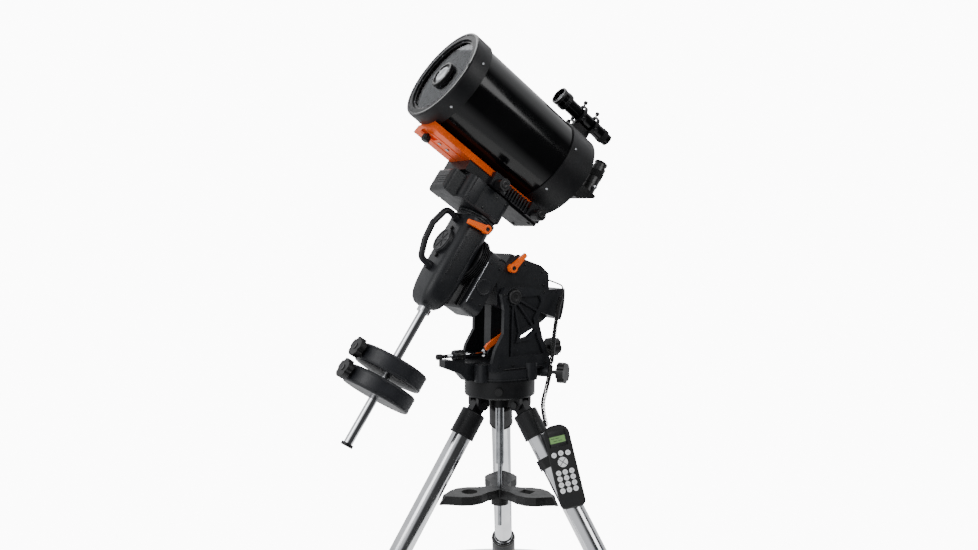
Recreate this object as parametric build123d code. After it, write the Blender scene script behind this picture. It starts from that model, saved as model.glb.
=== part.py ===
"""A Schmidt-Cassegrain telescope on a German equatorial mount and a folding tripod.

Units are millimetres. The origin is on the tripod's axis at the floor, +Z is up and the
polar axis leans towards -Y.
"""
from build123d import *
from math import atan2, cos, pi, radians, sin, tan
import os

os.makedirs("parts", exist_ok=True)

# Clearances, all radial or one-sided
running_gap = 0.05
loose_gap = 0.3
slide_gap = 0.08

# Tripod
ring_bottom = 630.0
ring_height = 43.0
ring_radius = 89.0
hinge_radius = 60.0
hinge_drop = 18.0
leg_splay = 32.0
leg_turn = -5.0
leg_directions = {"north": 270.0, "east": 30.0, "west": 150.0}
upper_tube_radius = 25.4
upper_tube_wall = 1.5
upper_tube_length = 610.0
lower_tube_radius = 22.0
lower_tube_length = 465.0
lower_tube_top = 225.0
socket_wall = 5.1
socket_radius = upper_tube_radius + socket_wall
socket_top = 24.0
socket_length = 66.0
tongue_radius = 15.0
tongue_width = 30.0
lug_thickness = 13.0
hinge_bolt_radius = 5.0
collar_wall = 7.6
collar_radius = upper_tube_radius + collar_wall
collar_length = 66.0
clamp_knob_radius = 17.0
foot_radius = 24.0
foot_length = 46.0
rod_radius = 5.0
rod_bottom = 292.0
rod_sleeve_radius = 10.5
rod_sleeve_bottom = 453.0
tray_top = 391.0
tray_height = 22.0
tray_wall = 3.0
tray_hub_radius = 22.0
tray_leg_gap = 12.0
tray_hole_radius = 20.0
tension_knob_height = 20.0

# Azimuth base, the fork that carries the polar housing
base_radius = 84.0
base_height = 27.0
deck_thickness = 18.0
fork_inside = 62.0
fork_plate = 12.0
fork_top = 897.0
pivot_y = -8.0
pivot_z = 882.0
trunnion_radius = 14.0
screw_z = 738.0
screw_radius = 5.0
lug_roller_radius = 12.0
lug_front_y = -33.0
lug_rear_y = 9.0
lug_width = 30.0
lock_lever_y = 2.0
lock_lever_z = 787.0
lock_pin_radius = 4.0
rear_wall_y = 80.0
rear_wall_thickness = 18.0
rear_knob_radius = 24.0
azimuth_knob_angle = 32.0
azimuth_knob_z = 688.0
peg_radius = 6.0
peg_distance = 52.0
azimuth_low = -12.0
azimuth_high = 2.0
azimuth_knob_reach = 112.0

# Polar housing and declination housing
latitude = 34.0
axes_y = -123.0
axes_z = 993.0
casing_half_width = 55.0
polar_tube_radius = 30.0
polar_tube_end = 300.0
gear_case_front = 54.5
gear_case_back = 104.0
gear_case_half_width = 60.0
gear_case_top = 42.0
gear_case_bottom = -122.0
polar_shaft_radius = 24.0
worm_wheel_radius = 56.0
dec_half_width = 52.0
dec_front = -44.0
dec_back = 32.0
dec_bottom = -162.0
dec_top = 82.0
neck_radius = 48.0
head_bottom = 97.0
head_top = 160.0
head_half_width = 58.0
head_front = -100.0
head_back = 37.0
motor_box_front = -138.0
motor_box_half_width = 38.0
port_cap_radius = 33.0
polar_lever_y = -3.0
polar_lever_z = 951.0
dec_lever_w = 8.0
dec_lever_v = 70.0
lever_pin_radius = 5.0
saddle_post_radius = 20.0
handle_top = 66.0
handle_bottom = -70.0

# Counterweights
shaft_radius = 11.0
shaft_end = -523.0
weight_radius = 86.0
weight_thickness = 42.0
upper_weight_at = -327.0
lower_weight_at = -383.0
weight_knob_radius = 24.0

# Saddle and dovetail
saddle_front = -115.0
saddle_back = 130.0
saddle_bottom = 160.3
dovetail_bottom = 187.0
dovetail_top = 206.0
dovetail_half_width = 51.0
saddle_inset = 4.0
saddle_half_width = dovetail_half_width - saddle_inset
dovetail_bevel = 7.0
dovetail_front = -238.0
dovetail_back = 98.0
jaw_thickness = 13.0
saddle_knob_radius = 15.0
knob_lift = 16.0
saddle_knob_places = (-25.0, 103.0)

# Optical tube, measured along its axis from the declination axis; minus is the open end
tube_radius = 117.5
tube_wall = 1.5
cell_wall = 6.0
cell_radius = tube_radius + cell_wall
cell_sink = 1.5
optical_axis = dovetail_top - cell_sink + cell_radius
front_rim = -272.0
front_cell_back = -226.0
corrector_radius = 104.0
corrector_thickness = 4.0
secondary_radius = 34.0
rear_cell_front = 70.0
rear_cell_rim = 150.0
rear_cell_back = 175.0
mirror_radius = 101.6
mirror_front = 101.0
mirror_thickness = 20.0
baffle_radius = 19.0
baffle_front = -40.0
visual_back_radius = 25.0
visual_back_end = 203.0
eyepiece_bore = 31.75 / 2
eyepiece_at = 245.0
eyepiece_rise = 113.0
eyepiece_top = optical_axis + eyepiece_rise
focus_knob_radius = 14.0
focus_knob_x = -52.0
focus_knob_drop = 30.0
finder_rise = 51.5
finder_height = optical_axis + cell_radius + finder_rise
finder_front = 30.0
finder_back = 226.0
finder_radius = 18.0
finder_rings = (112.0, 160.0)

# Hand control and its cord
hand_width = 62.0
hand_length = 198.0
hand_thickness = 26.0
hand_side = -62.0
hand_shift = 29.0
hand_along = 186.0
hand_lean = 14.0
hand_standoff = 9.0
key_radius = 6.2
key_travel = 1.0
cord_lead_diameter = 4.0
cord_coil_diameter = 12.0

nodes = {}


def cylinder(start, end, radius):
    """A cylinder between two points."""
    line = Vector(*end) - Vector(*start)
    return Plane(origin=start, z_dir=line) * Pos(0, 0, line.length / 2) * Cylinder(radius, line.length)


def block(x0, x1, y0, y1, z0, z1):
    """A box between two corners."""
    return Pos((x0 + x1) / 2, (y0 + y1) / 2, (z0 + z1) / 2) * Box(x1 - x0, y1 - y0, z1 - z0)


def side_plate(points, x0, x1):
    """A plate with its outline in the YZ plane, between x0 and x1."""
    outline = make_face(Polyline(*[(x0, y, z) for y, z in points], close=True))
    return extrude(outline, x1 - x0, dir=(1, 0, 0))


def star_knob(radius, height, lobes=5, dent=0.3):
    """A lobed knob on +Z that starts at the origin."""
    knob = Pos(0, 0, height / 2) * Cylinder(radius, height)
    for i in range(lobes):
        place = Rot(0, 0, 360 * i / lobes) * Pos(radius * 1.16, 0, height / 2)
        knob -= place * Cylinder(radius * dent, height + 2)
    return knob


# The frame of the two axes: x across, y back along the polar axis, z up the declination axis
home = Pos(0, axes_y, axes_z) * Rot(-latitude, 0, 0)
ring_top = ring_bottom + ring_height
hinge_z = ring_bottom - hinge_drop


def leg_frame(side):
    """A leg's frame: the origin at its hinge, z up the leg, x outwards."""
    turn = leg_directions[side] + leg_turn
    return Rot(0, 0, turn) * Pos(hinge_radius, 0, hinge_z) * Rot(0, -leg_splay, 0)


def make_tripod_head():
    head = Pos(0, 0, ring_bottom + ring_height / 2) * Cylinder(ring_radius, ring_height)
    head = fillet(head.edges().filter_by(GeomType.CIRCLE).sort_by(Axis.Z)[0], 6)
    boss_radius = hinge_radius - tongue_radius - 17
    head += Pos(0, 0, ring_bottom - 15) * Cylinder(boss_radius, 31)
    bolts = []
    for side in leg_directions:
        turn = Rot(0, 0, leg_directions[side] + leg_turn)
        for y in (-1, 1):
            middle = y * (tongue_width / 2 + loose_gap + lug_thickness / 2)
            lug = Pos(hinge_radius, middle, hinge_z) * Rot(90, 0, 0) * Cylinder(tongue_radius, lug_thickness)
            neck = block(
                hinge_radius - tongue_radius,
                hinge_radius + tongue_radius,
                middle - lug_thickness / 2,
                middle + lug_thickness / 2,
                hinge_z,
                ring_bottom + 2,
            )
            head += turn * (lug + neck)
        reach = tongue_width / 2 + loose_gap + lug_thickness
        hole = cylinder(
            (hinge_radius, -reach - 1, hinge_z), (hinge_radius, reach + 1, hinge_z), hinge_bolt_radius + running_gap
        )
        head -= turn * hole
        pin = cylinder((hinge_radius, -reach, hinge_z), (hinge_radius, reach, hinge_z), hinge_bolt_radius)
        for y in (-1, 1):
            pin += cylinder(
                (hinge_radius, y * reach, hinge_z), (hinge_radius, y * (reach + 5), hinge_z), hinge_bolt_radius + 3.5
            )
        bolts.append(turn * pin)
        side_turn = Rot(0, 0, leg_directions[side] + leg_turn + 60)
        middle_z = ring_bottom + ring_height / 2
        head -= side_turn * cylinder(
            (ring_radius - 20, 0, middle_z), (ring_radius + 1, 0, middle_z), hinge_bolt_radius + running_gap
        )
        screw = cylinder((ring_radius - 19, 0, middle_z), (ring_radius + 2, 0, middle_z), hinge_bolt_radius)
        screw += cylinder((ring_radius, 0, middle_z), (ring_radius + 9, 0, middle_z), hinge_bolt_radius + 4.5)
        bolts.append(side_turn * screw)
    head -= Pos(0, 0, ring_bottom) * Cylinder(rod_radius + running_gap, 200)
    peg = Rot(0, 0, 90 + leg_turn) * Pos(peg_distance, 0, 0) * cylinder(
        (0, 0, ring_top - 10), (0, 0, azimuth_knob_z + 6), peg_radius
    )
    nodes["tripod_head"] = head + peg
    nodes["tripod_head_bolts"] = Compound(children=bolts)


def make_rod():
    sleeve_top = ring_bottom - 31
    rod = cylinder((0, 0, rod_bottom), (0, 0, ring_top + 24), rod_radius)
    rod += cylinder((0, 0, rod_sleeve_bottom), (0, 0, sleeve_top), rod_sleeve_radius)
    nodes["centre_rod"] = chamfer(rod.edges().filter_by(GeomType.CIRCLE).sort_by(Axis.Z)[0], 1)


def make_leg(side):
    frame = leg_frame(side)
    socket_bottom = socket_top + socket_length
    socket = cylinder((0, 0, -socket_bottom), (0, 0, -socket_top), socket_radius)
    socket = fillet(socket.edges().filter_by(GeomType.CIRCLE).sort_by(Axis.Z)[-1], 5)
    tongue = Rot(90, 0, 0) * Cylinder(tongue_radius, tongue_width)
    tongue += block(
        -tongue_radius, tongue_radius, -tongue_width / 2, tongue_width / 2, -socket_top - 1, 0
    )
    top = socket + tongue
    top -= Rot(90, 0, 0) * Cylinder(hinge_bolt_radius + running_gap, tongue_width + 2)
    seat = socket_top + 24
    top -= cylinder((0, 0, -socket_bottom - 1), (0, 0, -seat), upper_tube_radius + running_gap)
    nodes[f"{side}_leg_top"] = frame * top

    inner = upper_tube_radius - upper_tube_wall
    tube = cylinder((0, 0, -upper_tube_length), (0, 0, -seat), upper_tube_radius)
    collar_bottom = upper_tube_length + 12
    collar_top = collar_bottom - collar_length
    tube += cylinder((0, 0, -collar_bottom), (0, 0, -collar_top), collar_radius)
    boss_end = collar_radius + 9
    knob_z = -(collar_top + collar_bottom) / 2
    tube += cylinder((lower_tube_radius, 0, knob_z), (boss_end, 0, knob_z), 11)
    tube -= cylinder((0, 0, -upper_tube_length), (0, 0, -seat + 1), inner)
    tube -= cylinder(
        (0, 0, -collar_bottom - 1), (0, 0, -upper_tube_length + 1), lower_tube_radius + slide_gap
    )
    stem_radius = 4.0
    tube -= cylinder((0, 0, knob_z), (boss_end + 1, 0, knob_z), stem_radius + running_gap)
    nodes[f"{side}_leg_tube"] = frame * tube

    knob = cylinder((lower_tube_radius + 1, 0, knob_z), (boss_end + 1, 0, knob_z), stem_radius)
    star = Pos(boss_end + loose_gap, 0, knob_z) * Rot(0, 90, 0) * star_knob(clamp_knob_radius, 16)
    nodes[f"{side}_leg_knob"] = frame * (knob + star)

    shin_end = lower_tube_top + lower_tube_length
    shin = cylinder((0, 0, -shin_end), (0, 0, -lower_tube_top), lower_tube_radius)
    shin -= cylinder((0, 0, -shin_end + foot_length), (0, 0, -lower_tube_top + 1), lower_tube_radius - 2)
    floor_reach = hinge_z / cos(radians(leg_splay))
    shin += cylinder((0, 0, -floor_reach - 20), (0, 0, -floor_reach + foot_length + 18), foot_radius)
    shin = frame * shin
    shin -= Pos(0, 0, -50) * Box(2000, 2000, 100)
    nodes[f"{side}_leg_shin"] = shin


def make_spreader():
    bottom = tray_top - tray_height
    hub = cylinder((0, 0, bottom), (0, 0, tray_top), tray_hub_radius)
    leg_radius_at_top = hinge_radius + (hinge_z - tray_top) * tan(radians(leg_splay))
    tip = leg_radius_at_top + 10
    half_widths = [(14, 20), (50, 28), (72, 40), (100, 43), (124, 33), (142, 17), (160, 4), (tip, 3)]
    outline = [(r, h) for r, h in half_widths] + [(r, -h) for r, h in reversed(half_widths)]
    arm = extrude(
        make_face(Polyline(*[(x, y, bottom) for x, y in outline], close=True)), tray_height, dir=(0, 0, 1)
    )
    inner = [(r, h - tray_wall) for r, h in half_widths[:-2]]
    inner = inner + [(r, -h) for r, h in reversed(inner)]
    pocket = extrude(
        make_face(Polyline(*[(x, y, bottom - 1) for x, y in inner], close=True)), tray_height - 4, dir=(0, 0, 1)
    )
    arm -= pocket - Pos(0, 0, bottom) * Cylinder(tray_hub_radius + 1, 3 * tray_height)
    reach = 400
    slope = radians(leg_splay)
    clear_tube = cylinder(
        (hinge_radius, 0, hinge_z),
        (hinge_radius + reach * sin(slope), 0, hinge_z - reach * cos(slope)),
        upper_tube_radius + tray_leg_gap,
    )
    arm -= clear_tube
    tray = hub
    for i, side in enumerate(leg_directions):
        blade = arm
        if i == 0:
            blade -= Pos(86, 0, tray_top) * Cylinder(tray_hole_radius, 2 * tray_height)
        if i == 1:
            blade -= block(64, 96, -14, 14, tray_top - 10, tray_top + 1)
        tray += Rot(0, 0, leg_directions[side] + leg_turn) * blade
    tray -= Pos(0, 0, tray_top) * Cylinder(rod_radius + loose_gap, 4 * tray_height)
    nodes["spreader_tray"] = tray
    knob = Pos(0, 0, bottom - loose_gap - tension_knob_height) * star_knob(
        tray_hub_radius, tension_knob_height, 8, 0.16
    )
    knob -= Pos(0, 0, bottom) * Cylinder(rod_radius + slide_gap, 4 * tension_knob_height)
    nodes["tension_knob"] = knob


def make_azimuth_base():
    deck_bottom = ring_top + base_height
    deck_top = deck_bottom + deck_thickness
    outside = fork_inside + fork_plate
    base = cylinder((0, 0, ring_top), (0, 0, deck_bottom + 1), base_radius)
    base += block(-outside, outside, -70, 104, deck_bottom, deck_top)
    plate = [
        (-70, deck_bottom),
        (-70, deck_top + 4),
        (-61, 753),
        (-37, 792),
        (-35, 850),
        (-43, fork_top - 8),
        (-32, fork_top + 8),
        (22, fork_top + 8),
        (95, fork_top - 5),
        (93, 872),
        (66, 826),
        (80, 775),
        (104, deck_top),
        (104, deck_bottom),
    ]
    pocket = [(-22, 735), (-22, 848), (-20, 888), (70, 882), (76, 866), (52, 826), (64, 778), (84, 735)]
    rib_ends = [(10, 790), (52, 806), (76, 838), (84, 884), (-14, 735)]
    for x in (-1, 1):
        wall = side_plate(plate, fork_inside, outside)
        recess = side_plate(pocket, outside - 6, outside + 1)
        recess -= cylinder((0, pivot_y, pivot_z), (outside + 2, pivot_y, pivot_z), trunnion_radius + 9)
        for y, z in rib_ends:
            along = atan2(z - pivot_z, y - pivot_y)
            side = (-sin(along) * 2.5, cos(along) * 2.5)
            rib = [
                (pivot_y + side[0], pivot_z + side[1]),
                (y + side[0], z + side[1]),
                (y - side[0], z - side[1]),
                (pivot_y - side[0], pivot_z - side[1]),
            ]
            recess -= side_plate(rib, outside - 7, outside + 2)
        slot_rim = side_plate([(0, 768), (6, 792), (58, 812), (70, 800), (40, 772)], outside - 7, outside + 2)
        wall -= recess - slot_rim
        slot = side_plate(
            [(10, 776), (14, 785), (50, 801), (56, 796), (34, 781)], fork_inside - 1, outside + 2
        )
        wall -= slot
        base += wall if x > 0 else mirror(wall, Plane.YZ)
    base += block(
        -fork_inside - 1, fork_inside + 1, rear_wall_y, rear_wall_y + rear_wall_thickness, deck_top - 1, screw_z + 18
    )
    nose = [
        (-66, deck_top),
        (-104, deck_top),
        (-150, 730),
        (-168, 730),
        (-168, 712),
        (-124, 694),
        (-106, ring_top + 2),
        (-66, ring_top + 2),
    ]
    base += side_plate(nose, -15, 15)
    nut_front = -136.0
    nut_back = -107.0
    base += block(-10, 10, nut_front + 2, nut_back - 2, deck_top - 6, screw_z - 10)
    base += cylinder((0, nut_front, screw_z), (0, nut_back, screw_z), 13)
    for x, y in ((-66, 46), (66, 46), (-34, -74), (34, -74)):
        base += cylinder((x, y, ring_top), (x, y, deck_top - 2), 19)
    angle = radians(azimuth_knob_angle)
    peg = (peg_distance * sin(radians(-leg_turn)), peg_distance * cos(radians(leg_turn)))
    for x in (-1, 1):
        outer = (peg[0] + x * 90 * cos(angle), peg[1] + 90 * sin(angle), azimuth_knob_z)
        inner = (peg[0] + x * 24 * cos(angle), peg[1] + 24 * sin(angle), azimuth_knob_z)
        base += cylinder(inner, outer, 13)
    base -= cylinder((0, 0, ring_top - 1), (0, 0, ring_top + 40), rod_radius + loose_gap)
    for step in range(7):
        turn = azimuth_low - 1 + (azimuth_high - azimuth_low + 2) * step / 6
        spot = radians(90 + leg_turn - turn)
        slot = Pos(peg_distance * cos(spot), peg_distance * sin(spot), azimuth_knob_z)
        base -= slot * Cylinder(peg_radius + 4, 50)
    for x in (-1, 1):
        start = (peg[0], peg[1], azimuth_knob_z)
        end = (peg[0] + x * 95 * cos(angle), peg[1] + 95 * sin(angle), azimuth_knob_z)
        base -= cylinder(start, end, screw_radius + running_gap)
    base -= cylinder((-90, pivot_y, pivot_z), (90, pivot_y, pivot_z), trunnion_radius + running_gap)
    base -= cylinder((0, -180, screw_z), (0, 200, screw_z), screw_radius + 1 + loose_gap)
    nodes["azimuth_base"] = base
    for x, name in ((1, "azimuth_knob_near"), (-1, "azimuth_knob_far")):
        out = Vector(x * cos(angle), sin(angle), 0)
        centre = Vector(peg[0], peg[1], azimuth_knob_z)
        tip = centre + out * (peg_radius + 0.4)
        shoulder = centre + out * azimuth_knob_reach
        knob = cylinder(tuple(tip), tuple(shoulder), screw_radius)
        knob += Plane(origin=shoulder, z_dir=out) * star_knob(26, 20)
        nodes[name] = knob


def make_altitude_screws():
    front_face = lug_front_y - lug_roller_radius - loose_gap
    screw = cylinder((0, -154, screw_z), (0, front_face, screw_z), screw_radius)
    screw += cylinder((0, front_face - 4, screw_z), (0, front_face, screw_z), screw_radius + 4)
    nodes["front_altitude_screw"] = screw
    rear_face = lug_rear_y + lug_roller_radius + loose_gap
    knob_face = 151.0
    rear = cylinder((0, rear_face, screw_z), (0, knob_face + 1, screw_z), screw_radius)
    rear += Plane(origin=(0, knob_face, screw_z), z_dir=(0, 1, 0)) * star_knob(rear_knob_radius, 27)
    nodes["rear_altitude_screw"] = rear
    face = lug_width / 2
    lever = cylinder(
        (face + loose_gap, lock_lever_y, lock_lever_z), (face + 12, lock_lever_y, lock_lever_z), 9
    )
    arm = [(-4, 778), (6, 796), (-50, 765), (-58, 757), (-54, 748)]
    lever += side_plate(arm, face + 3, face + 11)
    lever += cylinder(
        (-6, lock_lever_y, lock_lever_z), (face + 1, lock_lever_y, lock_lever_z), lock_pin_radius
    )
    nodes["altitude_lock_lever"] = lever


def make_polar_housing():
    belly_radius = 172.0
    profile = [(-44, 862), (-44, 985), (-12, 990), (50, 968), (88, 955), (112, 935), (113, 893)]
    for step in range(7):
        spot = radians(4 - 27 * step / 6)
        profile.append((pivot_y + belly_radius * cos(spot), pivot_z + belly_radius * sin(spot)))
    profile += [(38, 856), (-20, 850)]
    housing = side_plate(profile, -casing_half_width, casing_half_width)
    roof = [e for e in housing.edges().filter_by(Axis.X) if e.center().Z > 950]
    housing = fillet(roof, 7)
    housing += home * cylinder((0, gear_case_back - 2, 0), (0, polar_tube_end, 0), polar_tube_radius)
    lug = [
        (lug_front_y - 5, screw_z),
        (lug_front_y - 2, 860),
        (lug_rear_y + 10, 860),
        (lug_rear_y + 5, screw_z),
    ]
    housing += side_plate(lug, -lug_width / 2, lug_width / 2)
    for y in (lug_front_y, lug_rear_y):
        housing += cylinder((-lug_width / 2, y, screw_z), (lug_width / 2, y, screw_z), lug_roller_radius)
    outside = fork_inside + fork_plate
    housing += cylinder((-outside - 5, pivot_y, pivot_z), (outside + 5, pivot_y, pivot_z), trunnion_radius)
    housing -= home * block(-200, 200, -200, gear_case_back, -400, 400)
    housing -= home * cylinder((0, 0, 0), (0, polar_tube_end - 8, 0), polar_shaft_radius + running_gap)
    housing -= cylinder(
        (-7, lock_lever_y, lock_lever_z), (lug_width, lock_lever_y, lock_lever_z), lock_pin_radius + running_gap
    )
    lever_hub = (casing_half_width - 6, polar_lever_y, polar_lever_z)
    lever_mouth = (casing_half_width + 1, polar_lever_y, polar_lever_z)
    housing -= cylinder(lever_hub, lever_mouth, lever_pin_radius + running_gap)
    nodes["polar_housing"] = housing

    case = block(
        -gear_case_half_width, gear_case_half_width, gear_case_front, gear_case_back, gear_case_bottom, gear_case_top
    )
    case = fillet(case.edges().filter_by(Axis.Y), 26)
    case = chamfer(case.faces().sort_by(Axis.Y)[0].edges(), 4)
    case -= cylinder((0, 0, 0), (0, 200, 0), polar_shaft_radius + running_gap)
    nodes["polar_gear_case"] = home * case

    tip = (36, 984)
    hub = (polar_lever_y, polar_lever_z)
    along = atan2(tip[1] - hub[1], tip[0] - hub[0])
    side = (-sin(along), cos(along))
    blade = [
        (hub[0] + side[0] * 9, hub[1] + side[1] * 9),
        (tip[0] + side[0] * 5, tip[1] + side[1] * 5),
        (tip[0] - side[0] * 5, tip[1] - side[1] * 5),
        (hub[0] - side[0] * 9, hub[1] - side[1] * 9),
    ]
    face = casing_half_width + loose_gap
    lever = side_plate(blade, face + 3, face + 11)
    lever += cylinder((face, hub[0], hub[1]), (face + 13, hub[0], hub[1]), 11)
    lever += cylinder((casing_half_width - 5, hub[0], hub[1]), (face + 1, hub[0], hub[1]), lever_pin_radius)
    nodes["polar_clutch_lever"] = lever


def make_declination():
    body = block(-dec_half_width, dec_half_width, dec_front, dec_back, dec_bottom, dec_top)
    body = fillet(body.edges().filter_by(Axis.Z), 24)
    body = fillet(body.faces().sort_by(Axis.Z)[0].edges(), 23)
    body += cylinder((0, dec_back - 2, 0), (0, gear_case_front - loose_gap, 0), worm_wheel_radius)
    body += cylinder((0, 0, 0), (0, 140, 0), polar_shaft_radius)
    body += cylinder((0, 0, dec_top - 3), (0, 0, head_bottom - loose_gap), neck_radius)
    body -= cylinder((0, dec_front - 1, 0), (0, dec_front + 8, 0), port_cap_radius - 5 + running_gap)
    body -= cylinder((0, 0, dec_bottom - 1), (0, 0, dec_bottom + 24), shaft_radius + running_gap)
    body -= cylinder((0, 0, 20), (0, 0, 120), saddle_post_radius + running_gap)
    lever_w = dec_lever_w
    lever_v = dec_lever_v
    face = dec_half_width + loose_gap
    body -= cylinder(
        (dec_half_width - 6, lever_w, lever_v), (face + 1, lever_w, lever_v), lever_pin_radius + running_gap
    )
    handle_line = [(-46, handle_top), (-82, 70), (-96, 20), (-92, -24), (-78, -66), (-46, handle_bottom)]
    path = FilletPolyline(*[(0, w, v) for w, v in handle_line], radius=16)
    start = Plane(origin=path @ 0, z_dir=path % 0)
    handle = sweep(start * Circle(8), path=path)
    handle += cylinder((0, dec_front - 12, handle_top), (0, dec_front - 0.02, handle_top), 11)
    handle += cylinder((0, dec_front - 12, handle_bottom), (0, dec_front - 0.02, handle_bottom), 11)
    nodes["declination_housing"] = home * body
    nodes["carry_handle"] = home * handle

    cap = cylinder((0, dec_front - 9, 0), (0, dec_front - 0.02, 0), port_cap_radius)
    cap = fillet(cap.edges().filter_by(GeomType.CIRCLE).sort_by(Axis.Y)[0], 3)
    cap += cylinder((0, dec_front - 1, 0), (0, dec_front + 7, 0), port_cap_radius - 5)
    nodes["polar_port_cap"] = home * cap

    head = block(-head_half_width, head_half_width, head_front, head_back, head_bottom, head_top)
    head = fillet(head.edges().filter_by(Axis.Z), 18)
    head = chamfer(head.faces().sort_by(Axis.Z)[0].edges(), 6)
    head -= cylinder((0, 0, head_bottom - 1), (0, 0, head_top + 1), saddle_post_radius + running_gap)
    nodes["declination_head"] = home * head
    box = block(
        -motor_box_half_width, motor_box_half_width, motor_box_front, head_front - 0.02, head_bottom - 6, head_top - 8
    )
    box = fillet(box.faces().sort_by(Axis.Y)[0].edges(), 12)
    nodes["declination_motor_box"] = home * box

    tip_w = -46.0
    tip_v = 58.0
    along = atan2(tip_v - lever_v, tip_w - lever_w)
    side = (-sin(along), cos(along))
    blade = [
        (lever_w + side[0] * 9, lever_v + side[1] * 9),
        (tip_w + side[0] * 5, tip_v + side[1] * 5),
        (tip_w - side[0] * 5, tip_v - side[1] * 5),
        (lever_w - side[0] * 9, lever_v - side[1] * 9),
    ]
    lever = side_plate(blade, face + 3, face + 11)
    lever += cylinder((face, lever_w, lever_v), (face + 13, lever_w, lever_v), 11)
    lever += cylinder((dec_half_width - 5, lever_w, lever_v), (face + 1, lever_w, lever_v), lever_pin_radius)
    nodes["declination_clutch_lever"] = home * lever


def make_counterweights():
    shaft = cylinder((0, 0, shaft_end), (0, 0, dec_bottom + 22), shaft_radius)
    shaft += cylinder((0, 0, dec_bottom - 12), (0, 0, dec_bottom - 0.02), shaft_radius + 6)
    shaft -= cylinder((0, 0, shaft_end - 1), (0, 0, shaft_end + 16), 5 + running_gap)
    nodes["counterweight_shaft"] = home * shaft
    screw = cylinder((0, 0, shaft_end - 8), (0, 0, shaft_end - loose_gap), shaft_radius + 4)
    screw += cylinder((0, 0, shaft_end - 1), (0, 0, shaft_end + 15), 5)
    nodes["shaft_end_screw"] = home * screw
    for name, middle in (("upper", upper_weight_at), ("lower", lower_weight_at)):
        half = weight_thickness / 2
        weight = cylinder((0, 0, middle - half), (0, 0, middle + half), weight_radius)
        weight = fillet(weight.edges().filter_by(GeomType.CIRCLE), 5)
        weight -= cylinder((0, 0, middle - half - 1), (0, 0, middle + half + 1), shaft_radius + slide_gap)
        weight -= cylinder((0, -weight_radius - 1, middle), (0, 0, middle), 5 + running_gap)
        nodes[f"{name}_counterweight"] = home * weight
        knob = cylinder((0, -weight_radius - 2, middle), (0, -shaft_radius - 1, middle), 5)
        star = Plane(origin=(0, -weight_radius - loose_gap, middle), z_dir=(0, -1, 0))
        knob += star * Cylinder(10, 8, align=(Align.CENTER, Align.CENTER, Align.MIN))
        star = Plane(origin=(0, -weight_radius - 7, middle), z_dir=(0, -1, 0))
        knob += star * star_knob(weight_knob_radius, 15)
        nodes[f"{name}_counterweight_knob"] = home * knob


def dovetail_profile(grow):
    """The bar's section across the tube, grown outwards for its seat."""
    top = dovetail_half_width - dovetail_bevel
    return [
        (-dovetail_half_width - grow, dovetail_bottom),
        (-top - grow, dovetail_top),
        (top + grow, dovetail_top),
        (dovetail_half_width + grow, dovetail_bottom),
    ]


def long_bar(profile, w0, w1):
    """A bar with its section across the tube, between two places along it."""
    face = make_face(Polyline(*[(x, w0, v) for x, v in profile], close=True))
    return extrude(face, w1 - w0, dir=(0, 1, 0))


def make_saddle():
    seat = dovetail_bottom - running_gap
    outer = dovetail_half_width + jaw_thickness
    saddle = block(-saddle_half_width, saddle_half_width, saddle_front, saddle_back, saddle_bottom, seat)
    saddle += block(
        -outer, -saddle_half_width + 1, saddle_front, saddle_back, saddle_bottom + 6, dovetail_top - 6
    )
    for w in saddle_knob_places:
        saddle += block(saddle_half_width - 1, outer, w - 22, w + 22, saddle_bottom + 4, dovetail_top - 5)
    saddle -= long_bar(dovetail_profile(loose_gap), saddle_front - 1, saddle_back + 1)
    saddle += cylinder((0, 0, 110), (0, 0, saddle_bottom + 1), saddle_post_radius)
    for w in saddle_knob_places:
        saddle -= cylinder(
            (dovetail_half_width - 12, w, saddle_bottom + knob_lift),
            (outer + 1, w, saddle_bottom + knob_lift),
            5 + running_gap,
        )
    nodes["saddle"] = home * saddle
    knobs = []
    for w in saddle_knob_places:
        knob = cylinder(
            (dovetail_half_width - 8, w, saddle_bottom + knob_lift),
            (outer + 4, w, saddle_bottom + knob_lift),
            5,
        )
        star = Plane(origin=(outer + 3, w, saddle_bottom + knob_lift), z_dir=(1, 0, 0))
        knob += star * star_knob(saddle_knob_radius, 26, 6, 0.2)
        knobs.append(knob)
    nodes["saddle_knobs"] = home * Compound(children=knobs)

    bar = long_bar(dovetail_profile(0), dovetail_front, dovetail_back)
    foot_width = 34.0
    for w0, w1, radius in (
        (dovetail_front, dovetail_front + 24, cell_radius),
        (rear_cell_front + 3, dovetail_back, cell_radius - 2),
    ):
        foot = block(-foot_width, foot_width, w0, w1, dovetail_top - 1, optical_axis)
        foot -= cylinder((0, w0 - 1, optical_axis), (0, w1 + 1, optical_axis), radius + running_gap)
        foot = foot & block(-foot_width, foot_width, w0, w1, dovetail_top - 1, optical_axis - 60)
        bar += foot
    bar -= cylinder(
        (0, dovetail_front - 1, optical_axis), (0, front_cell_back + loose_gap, optical_axis), cell_radius + running_gap
    )
    bar -= block(-12, 12, dovetail_front - 1, dovetail_front + 40, dovetail_bottom - 1, dovetail_bottom + 5)
    nodes["dovetail_bar"] = home * bar


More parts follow.
